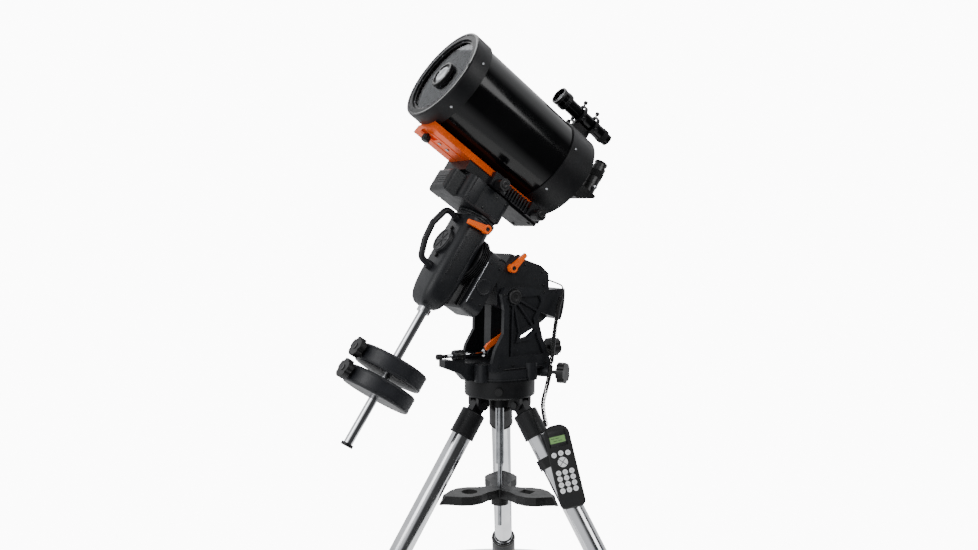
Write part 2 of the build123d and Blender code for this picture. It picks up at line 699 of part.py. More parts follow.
def make_tube():
    axis = optical_axis

    def centre(w):
        """A point on the optical axis."""
        return (0, w, optical_axis)

    cell = cylinder(centre(front_rim), centre(front_cell_back), cell_radius)
    cell = fillet(cell.edges().filter_by(GeomType.CIRCLE).sort_by(Axis.Y)[0], 4)
    cell -= cylinder(centre(front_rim - 1), centre(front_cell_back + 1), corrector_radius - 3)
    lens_seat = front_rim + 8
    cell -= cylinder(
        centre(front_rim - 1), centre(lens_seat + corrector_thickness), corrector_radius + running_gap
    )
    cell -= cylinder(centre(front_cell_back - 16), centre(front_cell_back + 1), tube_radius + running_gap)
    nodes["front_cell"] = home * cell

    lens = cylinder(centre(lens_seat), centre(lens_seat + corrector_thickness - 0.02), corrector_radius)
    lens -= cylinder(centre(lens_seat - 1), centre(lens_seat + corrector_thickness), secondary_radius - 6)
    nodes["corrector_plate"] = home * lens
    small = cylinder(centre(lens_seat - 7), centre(lens_seat - 0.02), secondary_radius)
    small += cylinder(centre(lens_seat - 1), centre(lens_seat + 8), secondary_radius - 6 - running_gap)
    small += cylinder(centre(lens_seat + corrector_thickness), centre(front_rim + 54), secondary_radius)
    nodes["secondary_housing"] = home * small

    skin = cylinder(centre(front_cell_back - 15.9), centre(rear_cell_front + 18), tube_radius)
    skin -= cylinder(centre(front_cell_back - 20), centre(rear_cell_front + 20), tube_radius - tube_wall)
    nodes["tube_skin"] = home * skin

    rear = cylinder(centre(rear_cell_front), centre(rear_cell_rim), cell_radius - 2)
    cone = Plane(origin=centre(rear_cell_rim), z_dir=(0, 1, 0)) * Pos(
        0, 0, (rear_cell_back - rear_cell_rim) / 2
    )
    rear += cone * Cone(cell_radius - 8, 58, rear_cell_back - rear_cell_rim)
    rear -= cylinder(centre(rear_cell_front - 1), centre(rear_cell_front + 18.1), tube_radius + running_gap)
    rear -= cylinder(centre(rear_cell_front), centre(rear_cell_rim - 6), cell_radius - 10)
    hollow = Plane(origin=centre(rear_cell_rim - 6.1), z_dir=(0, 1, 0)) * Pos(0, 0, 11)
    rear -= hollow * Cone(cell_radius - 16, 52, 22)
    rear += cylinder(
        (focus_knob_x, rear_cell_rim - 20, axis - focus_knob_drop),
        (focus_knob_x, rear_cell_back, axis - focus_knob_drop),
        12,
    )
    rear += cylinder(centre(baffle_front), centre(rear_cell_back), baffle_radius)
    rear += cylinder(centre(rear_cell_back - 1), centre(visual_back_end), visual_back_radius)
    rear -= cylinder(centre(baffle_front - 1), centre(visual_back_end - 18), baffle_radius - 1.5)
    rear -= cylinder(centre(visual_back_end - 19), centre(visual_back_end + 1), eyepiece_bore + running_gap)
    knob_z = axis - focus_knob_drop
    knob_start = rear_cell_rim - 20.0
    rear -= cylinder(
        (focus_knob_x, knob_start, knob_z), (focus_knob_x, rear_cell_back + 2, knob_z), 5 + running_gap
    )
    nodes["rear_cell"] = home * rear

    mirror = cylinder(centre(mirror_front), centre(mirror_front + mirror_thickness), mirror_radius)
    mirror -= cylinder(
        centre(mirror_front - 1), centre(mirror_front + mirror_thickness + 1), baffle_radius + slide_gap
    )
    nodes["primary_mirror"] = home * mirror

    knob = cylinder((focus_knob_x, knob_start + 1, knob_z), (focus_knob_x, rear_cell_back + 3, knob_z), 5)
    knob += cylinder(
        (focus_knob_x, rear_cell_back + 1, knob_z),
        (focus_knob_x, rear_cell_back + 27, knob_z),
        focus_knob_radius,
    )
    nodes["focus_knob"] = home * knob


def make_eyepiece():
    axis = optical_axis
    half = 20.0
    nose_start = visual_back_end - 17.0
    body_start = visual_back_end + 4.0
    back = eyepiece_at + half
    low = axis - half
    high = axis + half
    wedge = [(body_start, low), (body_start, high), (back, high), (back, high - 8), (body_start + 12, low)]
    prism = side_plate(wedge, -half, half)
    prism += cylinder((0, nose_start, axis), (0, body_start + 1, axis), eyepiece_bore)
    prism += cylinder((0, visual_back_end + loose_gap, axis), (0, body_start + 1, axis), 19)
    prism += cylinder((0, eyepiece_at, high - 1), (0, eyepiece_at, high + 24), 19.5)
    barrel_seat = high - 4.0
    prism -= cylinder((0, eyepiece_at, barrel_seat), (0, eyepiece_at, high + 30), eyepiece_bore + slide_gap)
    prism -= cylinder((0, nose_start - 1, axis), (0, body_start + 3, axis), eyepiece_bore - 1.5)
    nodes["star_diagonal"] = home * prism
    top = high + 24 + 0.05
    lens = cylinder((0, eyepiece_at, barrel_seat + 0.05), (0, eyepiece_at, top + 1), eyepiece_bore)
    lens += cylinder((0, eyepiece_at, top), (0, eyepiece_at, eyepiece_top - 16), 20)
    lens += cylinder((0, eyepiece_at, eyepiece_top - 17), (0, eyepiece_at, eyepiece_top), 17)
    lens -= cylinder((0, eyepiece_at, eyepiece_top - 7), (0, eyepiece_at, eyepiece_top + 1), 11)
    nodes["eyepiece"] = home * lens


def make_finder():
    axis = finder_height
    finder = cylinder((0, finder_front, axis), (0, finder_front + 34, axis), finder_radius + 5)
    finder += cylinder((0, finder_front + 33, axis), (0, finder_back - 26, axis), finder_radius)
    finder += cylinder((0, finder_back - 27, axis), (0, finder_back, axis), finder_radius - 2)
    finder -= cylinder((0, finder_front - 1, axis), (0, finder_front + 8, axis), finder_radius + 2)
    finder -= cylinder((0, finder_back - 5, axis), (0, finder_back + 1, axis), 8)
    nodes["finder_scope"] = home * finder
    bracket = block(-12, 12, 100, 146, optical_axis + cell_radius - 12, optical_axis + cell_radius + 12)
    bracket -= cylinder((0, 0, optical_axis), (0, 400, optical_axis), cell_radius - 2 + running_gap)
    bracket += block(
        -6, 6, finder_rings[0] - 4, finder_rings[1] + 4, optical_axis + cell_radius + 11, axis - 21
    )
    for w in finder_rings:
        hoop = cylinder((0, w - 4, axis), (0, w + 4, axis), 27)
        hoop -= cylinder((0, w - 5, axis), (0, w + 5, axis), 22)
        bracket += hoop
    bracket -= cylinder((0, finder_rings[0] - 6, axis), (0, finder_rings[1] + 6, axis), 21)
    for w in finder_rings:
        for turn in (90, 210, 330):
            spot = radians(turn)
            start = (finder_radius * cos(spot), w, axis + finder_radius * sin(spot))
            end = (39 * cos(spot), w, axis + 39 * sin(spot))
            bracket += cylinder(start, end, 2.5)
    bracket -= cylinder((0, finder_front, axis), (0, finder_back, axis), finder_radius + running_gap)
    nodes["finder_bracket"] = home * bracket


def hand_frame():
    """The hand control's frame: x out of its face, z up its length."""
    place = Rot(0, 0, hand_side) * Pos(upper_tube_radius + hand_standoff, hand_shift, -hand_along)
    return leg_frame("east") * place * Rot(-hand_lean, 0, 0)


def make_hand_control():
    frame = hand_frame()
    half = hand_length / 2
    shell = block(0, hand_thickness, -hand_width / 2, hand_width / 2, -half, half)
    top_edges = shell.edges().filter_by(Axis.X).sort_by(Axis.Z)[-2:]
    shell = fillet(top_edges, 24)
    low_edges = shell.edges().filter_by(Axis.X).sort_by(Axis.Z)[:2]
    shell = fillet(low_edges, 14)
    shell = chamfer(shell.faces().sort_by(Axis.X)[-1].edges(), 3)
    screen = (half - 51, half - 14)
    face = hand_thickness
    window = block(face - 2, face + 0.6, -22, 22, screen[0], screen[1])
    shell -= window
    keys = [(-17, 29), (0, 31), (17, 29)]
    for row in range(4):
        for column in (-1, 0, 1):
            keys.append((column * 16.0, -14 - 14.0 * row))
    sunk = 4.0
    for y, z in keys:
        shell -= cylinder((face - sunk, y, z), (face + 1, y, z), key_radius + loose_gap)
    pad_z = 9.5
    pad_radius = 12.0
    shell -= cylinder((face - sunk, 0, pad_z), (face + 1, 0, pad_z), pad_radius + loose_gap)
    nodes["hand_control_shell"] = frame * shell
    nodes["hand_control_screen"] = frame * block(
        face - 1.98, face + 0.4, -21.98, 21.98, screen[0] + 0.02, screen[1] - 0.02
    )
    rest = face - sunk + key_travel + 0.1
    caps = [cylinder((rest, y, z), (face + 2, y, z), key_radius) for y, z in keys]
    nodes["hand_control_keys"] = frame * Compound(children=caps)
    pad = cylinder((rest, 0, pad_z), (face + 2, 0, pad_z), pad_radius)
    nodes["direction_pad"] = frame * fillet(pad.edges().filter_by(GeomType.CIRCLE).sort_by(Axis.X)[-1], 1)

    side = leg_frame("east") * Rot(0, 0, hand_side)
    clip_bottom = -172.0
    clip_top = -146.0
    clip = cylinder((0, 0, clip_bottom), (0, 0, clip_top), upper_tube_radius + 5)
    clip += block(0, upper_tube_radius + hand_standoff - 1, -12, hand_shift + 6, clip_bottom, clip_top)
    clip -= cylinder((0, 0, clip_bottom - 1), (0, 0, clip_top + 1), upper_tube_radius + running_gap)
    clip = side * clip
    clip += frame * block(-4, -0.02, -24, 24, -20, 40)
    clip -= side * cylinder((0, 0, clip_bottom - 60), (0, 0, clip_top + 60), upper_tube_radius + running_gap)
    nodes["hand_control_holder"] = clip


cord_lead_route = [(48, 113.4, 918), (48, 136, 911), (72, 151, 900), (78, 136, 878)]
cord_middle_route = [
    (78, 136, 878), (84, 121, 856), (86, 112, 812), (88, 104, 776), (93, 98, 744), (103, 85, 712)
]
cord_lower_route = [(103, 85, 712), (109, 77.2, 692.8), (120, 58, 655), (126, 38, 612), (147, 40, 568.5)]


def cord_tube(route, diameter):
    """A cord's solid along a route whose corners are rounded as far as its runs allow."""
    points = [Vector(*p) for p in route]
    radii = []
    for before, at, after in zip(points, points[1:], points[2:]):
        turn = (at - before).get_angle(after - at)
        run = min((at - before).length, (after - at).length)
        radii.append(0.45 * run / tan(radians(max(turn, 1)) / 2))
    radius = min(radii)
    print("cord corner radius", round(radius, 1), "of", [round(r, 1) for r in radii])
    path = FilletPolyline(*points, radius=radius)
    start = Plane(origin=path @ 0, z_dir=path % 0)
    cord = sweep(start * Circle(diameter / 2), path=path)
    print(
        "cord length",
        round(path.length, 1),
        "volume share",
        round(cord.volume / (pi * diameter**2 / 4 * path.length), 3),
    )
    return cord


def make_cord():
    nodes["cord_lead"] = cord_tube(cord_lead_route, cord_lead_diameter)
    nodes["cord_coil_middle"] = cord_tube(cord_middle_route, cord_coil_diameter)
    nodes["cord_coil_lower"] = cord_tube(cord_lower_route, cord_coil_diameter)


make_tripod_head()
make_rod()
for leg_side in leg_directions:
    make_leg(leg_side)
make_spreader()
make_azimuth_base()
make_altitude_screws()
make_polar_housing()
make_declination()
make_counterweights()
make_saddle()
make_tube()
make_eyepiece()
make_finder()
make_hand_control()
make_cord()

for name, shape in nodes.items():
    shape.label = name
    export_step(shape, f"parts/{name}.step")
print(len(nodes), "nodes written")
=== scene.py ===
import math

import bpy
from mathutils import Matrix, Vector


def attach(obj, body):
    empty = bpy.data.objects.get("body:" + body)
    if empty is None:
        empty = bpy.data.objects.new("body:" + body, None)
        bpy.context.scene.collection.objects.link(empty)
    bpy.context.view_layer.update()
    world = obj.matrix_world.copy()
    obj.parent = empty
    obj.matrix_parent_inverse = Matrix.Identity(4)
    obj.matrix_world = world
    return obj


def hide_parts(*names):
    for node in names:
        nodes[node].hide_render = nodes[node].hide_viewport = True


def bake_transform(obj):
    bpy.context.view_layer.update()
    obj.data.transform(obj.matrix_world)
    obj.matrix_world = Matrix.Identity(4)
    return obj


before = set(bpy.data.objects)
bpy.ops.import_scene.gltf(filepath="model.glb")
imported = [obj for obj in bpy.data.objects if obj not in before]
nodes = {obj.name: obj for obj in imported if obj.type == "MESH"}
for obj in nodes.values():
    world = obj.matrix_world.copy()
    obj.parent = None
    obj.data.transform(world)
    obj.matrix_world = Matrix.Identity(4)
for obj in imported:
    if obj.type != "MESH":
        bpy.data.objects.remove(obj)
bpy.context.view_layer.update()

print("frame loaded:", len(nodes), "nodes")

mm = 0.001


def spun(degrees, axis="Z"):
    return Matrix.Rotation(math.radians(degrees), 4, axis)


# x across, y back along the polar axis, z up the declination axis; lengths in millimetres
home = Matrix.Translation((0, -0.123, 0.993)) @ spun(-34, "X") @ Matrix.Scale(mm, 4)
ground = Matrix.Scale(mm, 4)


# an sRGB hex code as the linear values a shader takes
def linear(hexCode):
    steps = [int(hexCode[i:i + 2], 16) / 255 for i in (1, 3, 5)]
    return [v / 12.92 if v <= 0.04045 else ((v + 0.055) / 1.055) ** 2.4 for v in steps] + [1]


def addNode(material, kind, settings=(), links=()):
    tree = material.node_tree
    node = tree.nodes["Principled BSDF"] if kind == "Principled BSDF" else tree.nodes.new(kind)
    for name, value in dict(settings).items():
        if isinstance(name, int) or name in node.inputs:
            node.inputs[name].default_value = value
        else:
            setattr(node, name, value)
    for name, source in dict(links).items():
        tree.links.new(source, node.inputs[name])
    return node


def finish(name, look):
    # tone drifts over "patch" mm, and grain stands "relief" mm high every "grain" mm
    # handling dulls the gloss over "wear" mm
    look = {"patch": 70, "grain": 1.5, "relief": 0.02, "wear": 25, "spread": 0.08, "stretch": (1, 1, 1),
            "turn": (0, 0, 0), "metallic": 0, "sheen": 0.5, "shader": {}} | look
    material = bpy.data.materials.new(name)
    material.use_nodes = True
    spot = addNode(material, "ShaderNodeTexCoord").outputs["Object"]
    along = addNode(
        material, "ShaderNodeMapping", {"Scale": look["stretch"], "Rotation": look["turn"]},
        {"Vector": spot}
    ).outputs[0]
    tone = addNode(
        material, "ShaderNodeTexNoise", {"Scale": 1000 / look["patch"], "Detail": 4}, {"Vector": spot}
    )
    shades = addNode(material, "ShaderNodeValToRGB", (), {"Fac": tone.outputs[0]})
    for stop, (place, tint) in zip(shades.color_ramp.elements, ((0.35, look["base"]), (0.68, look["drift"]))):
        stop.position = place
        stop.color = linear(tint)
    grain = addNode(
        material, "ShaderNodeTexNoise", {"Scale": 1000 / look["grain"], "Detail": 3}, {"Vector": along}
    )
    wear = addNode(
        material, "ShaderNodeTexNoise", {"Scale": 1000 / look["wear"], "Detail": 6, "Roughness": 0.65},
        {"Vector": along}
    )
    dull = addNode(
        material, "ShaderNodeMapRange",
        {
            "From Min": 0.35,
            "From Max": 0.7,
            "To Min": look["rough"] - look["spread"] / 2,
            "To Max": look["rough"] + look["spread"]
        },
        {"Value": wear.outputs[0]}
    )
    bump = addNode(
        material, "ShaderNodeBump", {"Strength": 1, "Distance": look["relief"] * mm},
        {"Height": grain.outputs[0]}
    )
    addNode(
        material, "Principled BSDF",
        {"Metallic": look["metallic"], "Specular IOR Level": look["sheen"]} | look["shader"],
        {"Base Color": shades.outputs[0], "Roughness": dull.outputs[0], "Normal": bump.outputs[0]}
    )
    return material


tubeTurn = (math.radians(34), 0, 0)
# satin powder coat on die-cast aluminium: fine orange peel, soft broad highlight
graphitePowderCoat = finish(
    "graphitePowderCoat",
    {"base": "#141518", "drift": "#1a1b1e", "rough": 0.4, "sheen": 0.28, "grain": 1.6, "relief": 0.05}
)
# the same coat, darker, on the tripod head and the saddle
blackPowderCoat = finish(
    "blackPowderCoat",
    {"base": "#0d0d0f", "drift": "#121214", "rough": 0.42, "sheen": 0.22, "grain": 1.4, "relief": 0.05}
)
# lighter moulded covers over the motors: ABS with a fine spark-eroded texture
greyMouldedAbs = finish(
    "greyMouldedAbs",
    {"base": "#1a1b1d", "drift": "#202123", "rough": 0.42, "sheen": 0.3, "grain": 0.9, "relief": 0.06}
)
# glass-filled nylon knobs: dull black with a faint grain
blackMouldedNylon = finish(
    "blackMouldedNylon",
    {"base": "#0b0b0c", "drift": "#111112", "rough": 0.42, "sheen": 0.3, "grain": 0.8, "relief": 0.05}
)
# gloss enamel on rolled aluminium: deep black, sharp reflections with a slight ripple
glossBlackEnamel = finish(
    "glossBlackEnamel",
    {
        "base": "#040405", "drift": "#070708", "rough": 0.13, "sheen": 0.25, "spread": 0.05, "grain": 14,
        "relief": 0.05, "wear": 60
    }
)
# orange anodised aluminium extrusion: metallic, with drawing lines along the bar
orangeAnodised = finish(
    "orangeAnodised",
    {
        "base": "#f25c00", "drift": "#e65400", "rough": 0.36, "metallic": 0.6, "grain": 1.2, "relief": 0.03,
        "stretch": (1, 0.03, 1), "turn": tubeTurn
    }
)
# orange powder coat on cast levers
orangePowderCoat = finish(
    "orangePowderCoat",
    {"base": "#f26200", "drift": "#e65a00", "rough": 0.34, "sheen": 0.3, "grain": 1.2, "relief": 0.04}
)
# polished stainless tube: mirror-like with fine lengthwise polishing lines
polishedStainless = finish(
    "polishedStainless",
    {
        "base": "#c9cacc", "drift": "#b9babd", "rough": 0.14, "metallic": 1, "spread": 0.08, "grain": 2,
        "relief": 0.004, "stretch": (1, 1, 0.02)
    }
)
# hard chrome on the counterweight bar
hardChrome = finish(
    "hardChrome",
    {
        "base": "#d6d7da", "drift": "#c8c9cc", "rough": 0.08, "metallic": 1, "spread": 0.04, "grain": 3,
        "relief": 0.002
    }
)
# zinc-plated bolts: slightly dull, mottled
zincPlate = finish(
    "zincPlate",
    {
        "base": "#a9abae", "drift": "#8f9194", "rough": 0.3, "metallic": 1, "patch": 12, "grain": 1,
        "relief": 0.01
    }
)
# natural anodised aluminium on turned knobs
silverAnodised = finish(
    "silverAnodised",
    {"base": "#b4b6ba", "drift": "#a5a7ab", "rough": 0.28, "metallic": 1, "grain": 1, "relief": 0.01}
)
# hammered-looking paint on grey iron castings
castIronPaint = finish(
    "castIronPaint",
    {
        "base": "#15161a", "drift": "#1c1d21", "rough": 0.4, "sheen": 0.3, "patch": 40, "grain": 3.2,
        "relief": 0.12
    }
)
# black anodised aluminium on eyepieces, rings and the finder
blackAnodised = finish(
    "blackAnodised",
    {"base": "#0c0c0d", "drift": "#121213", "rough": 0.34, "sheen": 0.35, "grain": 0.8, "relief": 0.01}
)
# soft rubber bands and feet
blackRubber = finish(
    "blackRubber",
    {"base": "#0b0b0c", "drift": "#121213", "rough": 0.72, "sheen": 0.2, "grain": 1, "relief": 0.06}
)
# silicone rubber keys
greySilicone = finish(
    "greySilicone", {"base": "#d9dadb", "drift": "#cfd0d2", "rough": 0.55, "grain": 0.8, "relief": 0.02}
)
# PVC jacket of the curly cord
blackPvc = finish(
    "blackPvc",
    {"base": "#0a0a0b", "drift": "#0f0f10", "rough": 0.36, "sheen": 0.3, "grain": 2, "relief": 0.02}
)
# vacuum-deposited aluminium on the primary mirror
mirrorCoating = finish(
    "mirrorCoating",
    {
        "base": "#e2e4e6", "drift": "#dcdee1", "rough": 0.05, "spread": 0.02, "metallic": 1, "grain": 9,
        "relief": 0.001
    }
)
# flat black paint inside the tube
flatBlackPaint = finish(
    "flatBlackPaint", {"base": "#0a0a0a", "drift": "#101010", "rough": 0.8, "grain": 1, "relief": 0.05}
)
# water-white glass with an anti-reflection coating: faint cool tint
coatedGlass = finish(
    "coatedGlass",
    {
        "base": "#f4f8fa",
        "drift": "#eef4f8",
        "rough": 0.01,
        "spread": 0.01,
        "grain": 30,
        "relief": 0.0005,
        "shader": {"Transmission Weight": 1, "IOR": 1.14, "Specular Tint": [0.75, 0.8, 1, 1]}
    }
)
# backlit green liquid-crystal window behind clear plastic
backlitCrystal = finish(
    "backlitCrystal",
    {
        "base": "#57853a", "drift": "#4c7833", "rough": 0.12, "spread": 0.04, "grain": 3, "relief": 0.004,
        "shader": {"Coat Weight": 1, "Emission Color": linear("#7fb24a"), "Emission Strength": 0.08}
    }
)
print("materials made")

finishes = {
    graphitePowderCoat: [
        "azimuth_base", "polar_housing", "polar_gear_case", "declination_housing", "carry_handle",
        "declination_head"
    ],
    blackPowderCoat: [
        "tripod_head", "saddle", "front_cell", "rear_cell", "finder_bracket", "north_leg_top",
        "east_leg_top", "west_leg_top"
    ],
    greyMouldedAbs: ["polar_port_cap", "declination_motor_box"],
    blackMouldedNylon: [
        "north_leg_knob", "east_leg_knob", "west_leg_knob", "spreader_tray", "tension_knob",
        "azimuth_knob_near", "azimuth_knob_far", "rear_altitude_screw", "upper_counterweight_knob",
        "lower_counterweight_knob", "shaft_end_screw", "secondary_housing", "hand_control_shell",
        "hand_control_holder"
    ],
    glossBlackEnamel: ["tube_skin", "finder_scope"],
    orangeAnodised: ["dovetail_bar"],
    orangePowderCoat: ["altitude_lock_lever", "polar_clutch_lever", "declination_clutch_lever"],
    polishedStainless: [
        "north_leg_tube", "east_leg_tube", "west_leg_tube", "north_leg_shin", "east_leg_shin",
        "west_leg_shin"
    ],
    hardChrome: ["counterweight_shaft", "front_altitude_screw"],
    zincPlate: ["centre_rod"],
    blackAnodised: ["tripod_head_bolts", "saddle_knobs", "star_diagonal", "eyepiece"],
    castIronPaint: ["upper_counterweight", "lower_counterweight"],
    blackRubber: ["focus_knob"],
    greySilicone: ["hand_control_keys", "direction_pad"],
    mirrorCoating: ["primary_mirror"],
    coatedGlass: ["corrector_plate"],
    backlitCrystal: ["hand_control_screen"],
}
for material, names in finishes.items():
    for name in names:
        nodes[name].data.materials.clear()
        nodes[name].data.materials.append(material)
print("materials given to", sum(len(v) for v in finishes.values()), "nodes")


# a near-level camera just over a metre high
view = {"place": (1.9270, -1.2658, 1.0653), "tilt": 86.85, "turn": 56.7, "sensor": 36, "lens": 33.83,
        "shift": (-0.0110, -0.0029)}
cameraData = bpy.data.cameras.new("camera")
camera = bpy.data.objects.new("camera", cameraData)
bpy.context.scene.collection.objects.link(camera)
camera.location = view["place"]
camera.rotation_euler = (math.radians(view["tilt"]), 0, math.radians(view["turn"]))
cameraData.sensor_width = view["sensor"]
cameraData.lens = view["lens"]
cameraData.shift_x = view["shift"][0]
cameraData.shift_y = view["shift"][1]
cameraData.clip_end = 100
bpy.context.scene.camera = camera

# metres and watts; each lamp is a place, a target, a size and its watts
studio = {
    "skyTone": "#f4f5f7",
    "skyStrength": 1.3,
    "flagStrength": 0.08,
    "flagSide": (0.955, 0.295, 0.05),
    "flagEdge": (0.45, 0.74),
    "backdrop": 14.0,
    "floorTone": "#f2f2f1",
    "floorRadius": 0.64,
    "floorGlow": 0.9,
    "lamps": [
        ((2.4, 0.9, 2.2), (0, 0, 0.9), 1.5, 40),
        ((0.6, -2.8, 2.4), (0, 0, 0.9), 1.6, 38),
        ((-1.6, 0.6, 3.0), (0, 0, 0.9), 1.8, 26),
    ],
}
# matt painted board: even and pale, with a little light of its own
floorLook = {
    "base": studio["floorTone"],
    "drift": "#ededec",
    "rough": 0.75,
    "patch": 900,
    "grain": 6,
    "relief": 0.02,
    "wear": 300,
    "shader": {"Emission Color": linear("#ffffff"), "Emission Strength": studio["floorGlow"]}
}
bpy.ops.mesh.primitive_circle_add(
    vertices=160, radius=studio["floorRadius"], fill_type="NGON", location=(0, 0, 0)
)
floor = bpy.context.object
floor.name = "studioFloor"
floor.data.materials.append(finish("paleFloorPaint", floorLook))
for spot, target, size, watts in studio["lamps"]:
    lampData = bpy.data.lights.new("softbox", "AREA")
    lampData.shape = "SQUARE"
    lampData.size = size
    lampData.energy = watts
    lamp = bpy.data.objects.new("softbox", lampData)
    bpy.context.scene.collection.objects.link(lamp)
    lamp.location = spot
    lamp.rotation_euler = (Vector(target) - Vector(spot)).to_track_quat("-Z", "Y").to_euler()
world = bpy.context.scene.world or bpy.data.worlds.new("studio")
bpy.context.scene.world = world
world.use_nodes = True
sky = world.node_tree.nodes["Background"]
sky.inputs["Color"].default_value = linear(studio["skyTone"])
# a black flag stands to the right of the camera and draws the dark stripe down bright metal
aimed = addNode(world, "ShaderNodeTexCoord").outputs["Generated"]
flagged = addNode(
    world, "ShaderNodeVectorMath", {"operation": "DOT_PRODUCT", 1: studio["flagSide"]}, {0: aimed}
)
shade = addNode(
    world, "ShaderNodeMapRange",
    {
        "From Min": studio["flagEdge"][0],
        "From Max": studio["flagEdge"][1],
        "To Min": studio["skyStrength"],
        "To Max": studio["flagStrength"]
    },
    {"Value": flagged.outputs["Value"]}
)
world.node_tree.links.new(shade.outputs[0], sky.inputs["Strength"])
# the backdrop is overexposed, and lights nothing
seen = addNode(world, "ShaderNodeLightPath").outputs["Is Camera Ray"]
paper = addNode(world, "ShaderNodeBackground", {"Strength": studio["backdrop"]})
mixed = addNode(world, "ShaderNodeMixShader", (), {0: seen, 1: sky.outputs[0], 2: paper.outputs[0]})
world.node_tree.links.new(mixed.outputs[0], world.node_tree.nodes["World Output"].inputs["Surface"])
print("camera, lights and floor made")


# pieces are made in millimetres round their own origin, then set in their place
def aim(point, direction, spin=0):
    turn = Vector(direction).to_track_quat("Z", "Y").to_matrix().to_4x4()
    return Matrix.Translation(point) @ turn @ spun(spin)


def settle(piece, name, material, body, place, smooth=35):
    bpy.ops.object.select_all(action="DESELECT")
    piece.select_set(True)
    bpy.context.view_layer.objects.active = piece
    piece.data.transform(place @ piece.matrix_world)
    piece.matrix_world = Matrix.Identity(4)
    bpy.ops.object.shade_smooth_by_angle(angle=math.radians(smooth))
    piece.name = name
    piece.data.materials.clear()
    piece.data.materials.append(material)
    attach(piece, body)
    return piece


def pick(piece, test):
    # selects the faces that pass the test, and goes into edit mode
    bpy.context.tool_settings.mesh_select_mode = (False, False, True)
    if piece.mode != "OBJECT":
        bpy.ops.object.mode_set(mode="OBJECT")
    for part in (piece.data.vertices, piece.data.edges):
        for element in part:
            element.select = False
    for face in piece.data.polygons:
        face.select = bool(test(face))
    bpy.ops.object.mode_set(mode="EDIT")


def bevel(piece, width, segments=2, angle=30):
    modifier = piece.modifiers.new("edges", "BEVEL")
    modifier.width = width
    modifier.segments = segments
    modifier.limit_method = "ANGLE"
    modifier.angle_limit = math.radians(angle)
    bpy.context.view_layer.objects.active = piece
    bpy.ops.object.modifier_apply(modifier=modifier.name)


def turned(sections, sides=40, edge=0.4, flutes=0):
    # a lathe job: a disc drawn out along z through (height, radius) pairs; flutes presses every other side in
    bpy.ops.object.select_all(action="DESELECT")
    bpy.ops.mesh.primitive_circle_add(
        vertices=sides, radius=sections[0][1], fill_type="NGON", location=(0, 0, sections[0][0])
    )
    piece = bpy.context.object
    bpy.ops.object.mode_set(mode="EDIT")
    bpy.ops.mesh.select_all(action="SELECT")
    for (low, r0), (high, r1) in zip(sections, sections[1:]):
        bpy.ops.mesh.extrude_region_move(TRANSFORM_OT_translate={"value": (0, 0, high - low)})
        bpy.ops.transform.resize(value=(r1 / r0, r1 / r0, 1))
    bpy.ops.mesh.select_all(action="SELECT")
    bpy.ops.mesh.normals_make_consistent(inside=False)
    bpy.ops.object.mode_set(mode="OBJECT")
    if flutes:
        widest = max(r for _, r in sections)

        def isFlute(face):
            across = Vector(face.center).xy
            count = int((math.atan2(across.y, across.x) / (2 * math.pi) * sides) % 2)
            return abs(face.normal.z) < 0.2 and across.length > widest * 0.85 and count == 0
        pick(piece, isFlute)
        bpy.ops.mesh.inset(thickness=0.12 * flutes, depth=-flutes, use_individual=True)
        bpy.ops.object.mode_set(mode="OBJECT")
    if edge:
        bevel(piece, edge)
    return piece


def block(size, edge=1.0, lift=None):
    # a bevelled block, its top face stepped in by lift = (inset, height)
    bpy.ops.object.select_all(action="DESELECT")
    bpy.ops.mesh.primitive_cube_add(size=1)
    piece = bpy.context.object
    piece.data.transform(Matrix.Diagonal((*size, 1)))
    if lift:
        pick(piece, lambda face: face.normal.z > 0.9)
        bpy.ops.mesh.inset(thickness=lift[0], depth=lift[1])
        bpy.ops.object.mode_set(mode="OBJECT")
    if edge:
        bevel(piece, edge, 3)
    return piece


def ring(inner, outer, low, high, steps=96, edge=0.6):
    # a rectangle stood beside the axis and spun round it
    bpy.ops.object.select_all(action="DESELECT")
    bpy.ops.mesh.primitive_plane_add(size=1)
    piece = bpy.context.object
    stand = Matrix.Translation(
        ((inner + outer) / 2, 0, (low + high) / 2)
    ) @ Matrix.Rotation(math.pi / 2, 4, "X")
    piece.data.transform(stand @ Matrix.Diagonal((outer - inner, high - low, 1, 1)))
    bpy.ops.object.mode_set(mode="EDIT")
    bpy.ops.mesh.select_all(action="SELECT")
    bpy.ops.mesh.spin(steps=steps, angle=2 * math.pi, center=(0, 0, 0), axis=(0, 0, 1))
    bpy.ops.mesh.select_all(action="SELECT")
    bpy.ops.mesh.remove_doubles(threshold=0.001)
    bpy.ops.mesh.delete_loose()
    bpy.ops.object.mode_set(mode="OBJECT")
    # the first rectangle is left inside the wall, and goes
    pick(piece, lambda face: abs(face.normal.y) > 0.999 and abs(face.center[1]) < 1e-4 and face.center[0] > 0)
    bpy.ops.mesh.delete(type="ONLY_FACE")
    bpy.ops.mesh.select_all(action="SELECT")
    bpy.ops.mesh.normals_make_consistent(inside=False)
    bpy.ops.object.mode_set(mode="OBJECT")
    if edge:
        bevel(piece, edge)
    return piece


def strew(make, name, material, body, places, smooth=35):
    # one model, copied to each place, each copy with its own mesh
    first = make()
    made = []
    for i, place in enumerate(places):
        piece = first.copy()
        piece.data = first.data.copy()
        bpy.context.scene.collection.objects.link(piece)
        made.append(settle(piece, f"{name}{i + 1}", material, body, place, smooth))
    bpy.data.objects.remove(first)
    return made


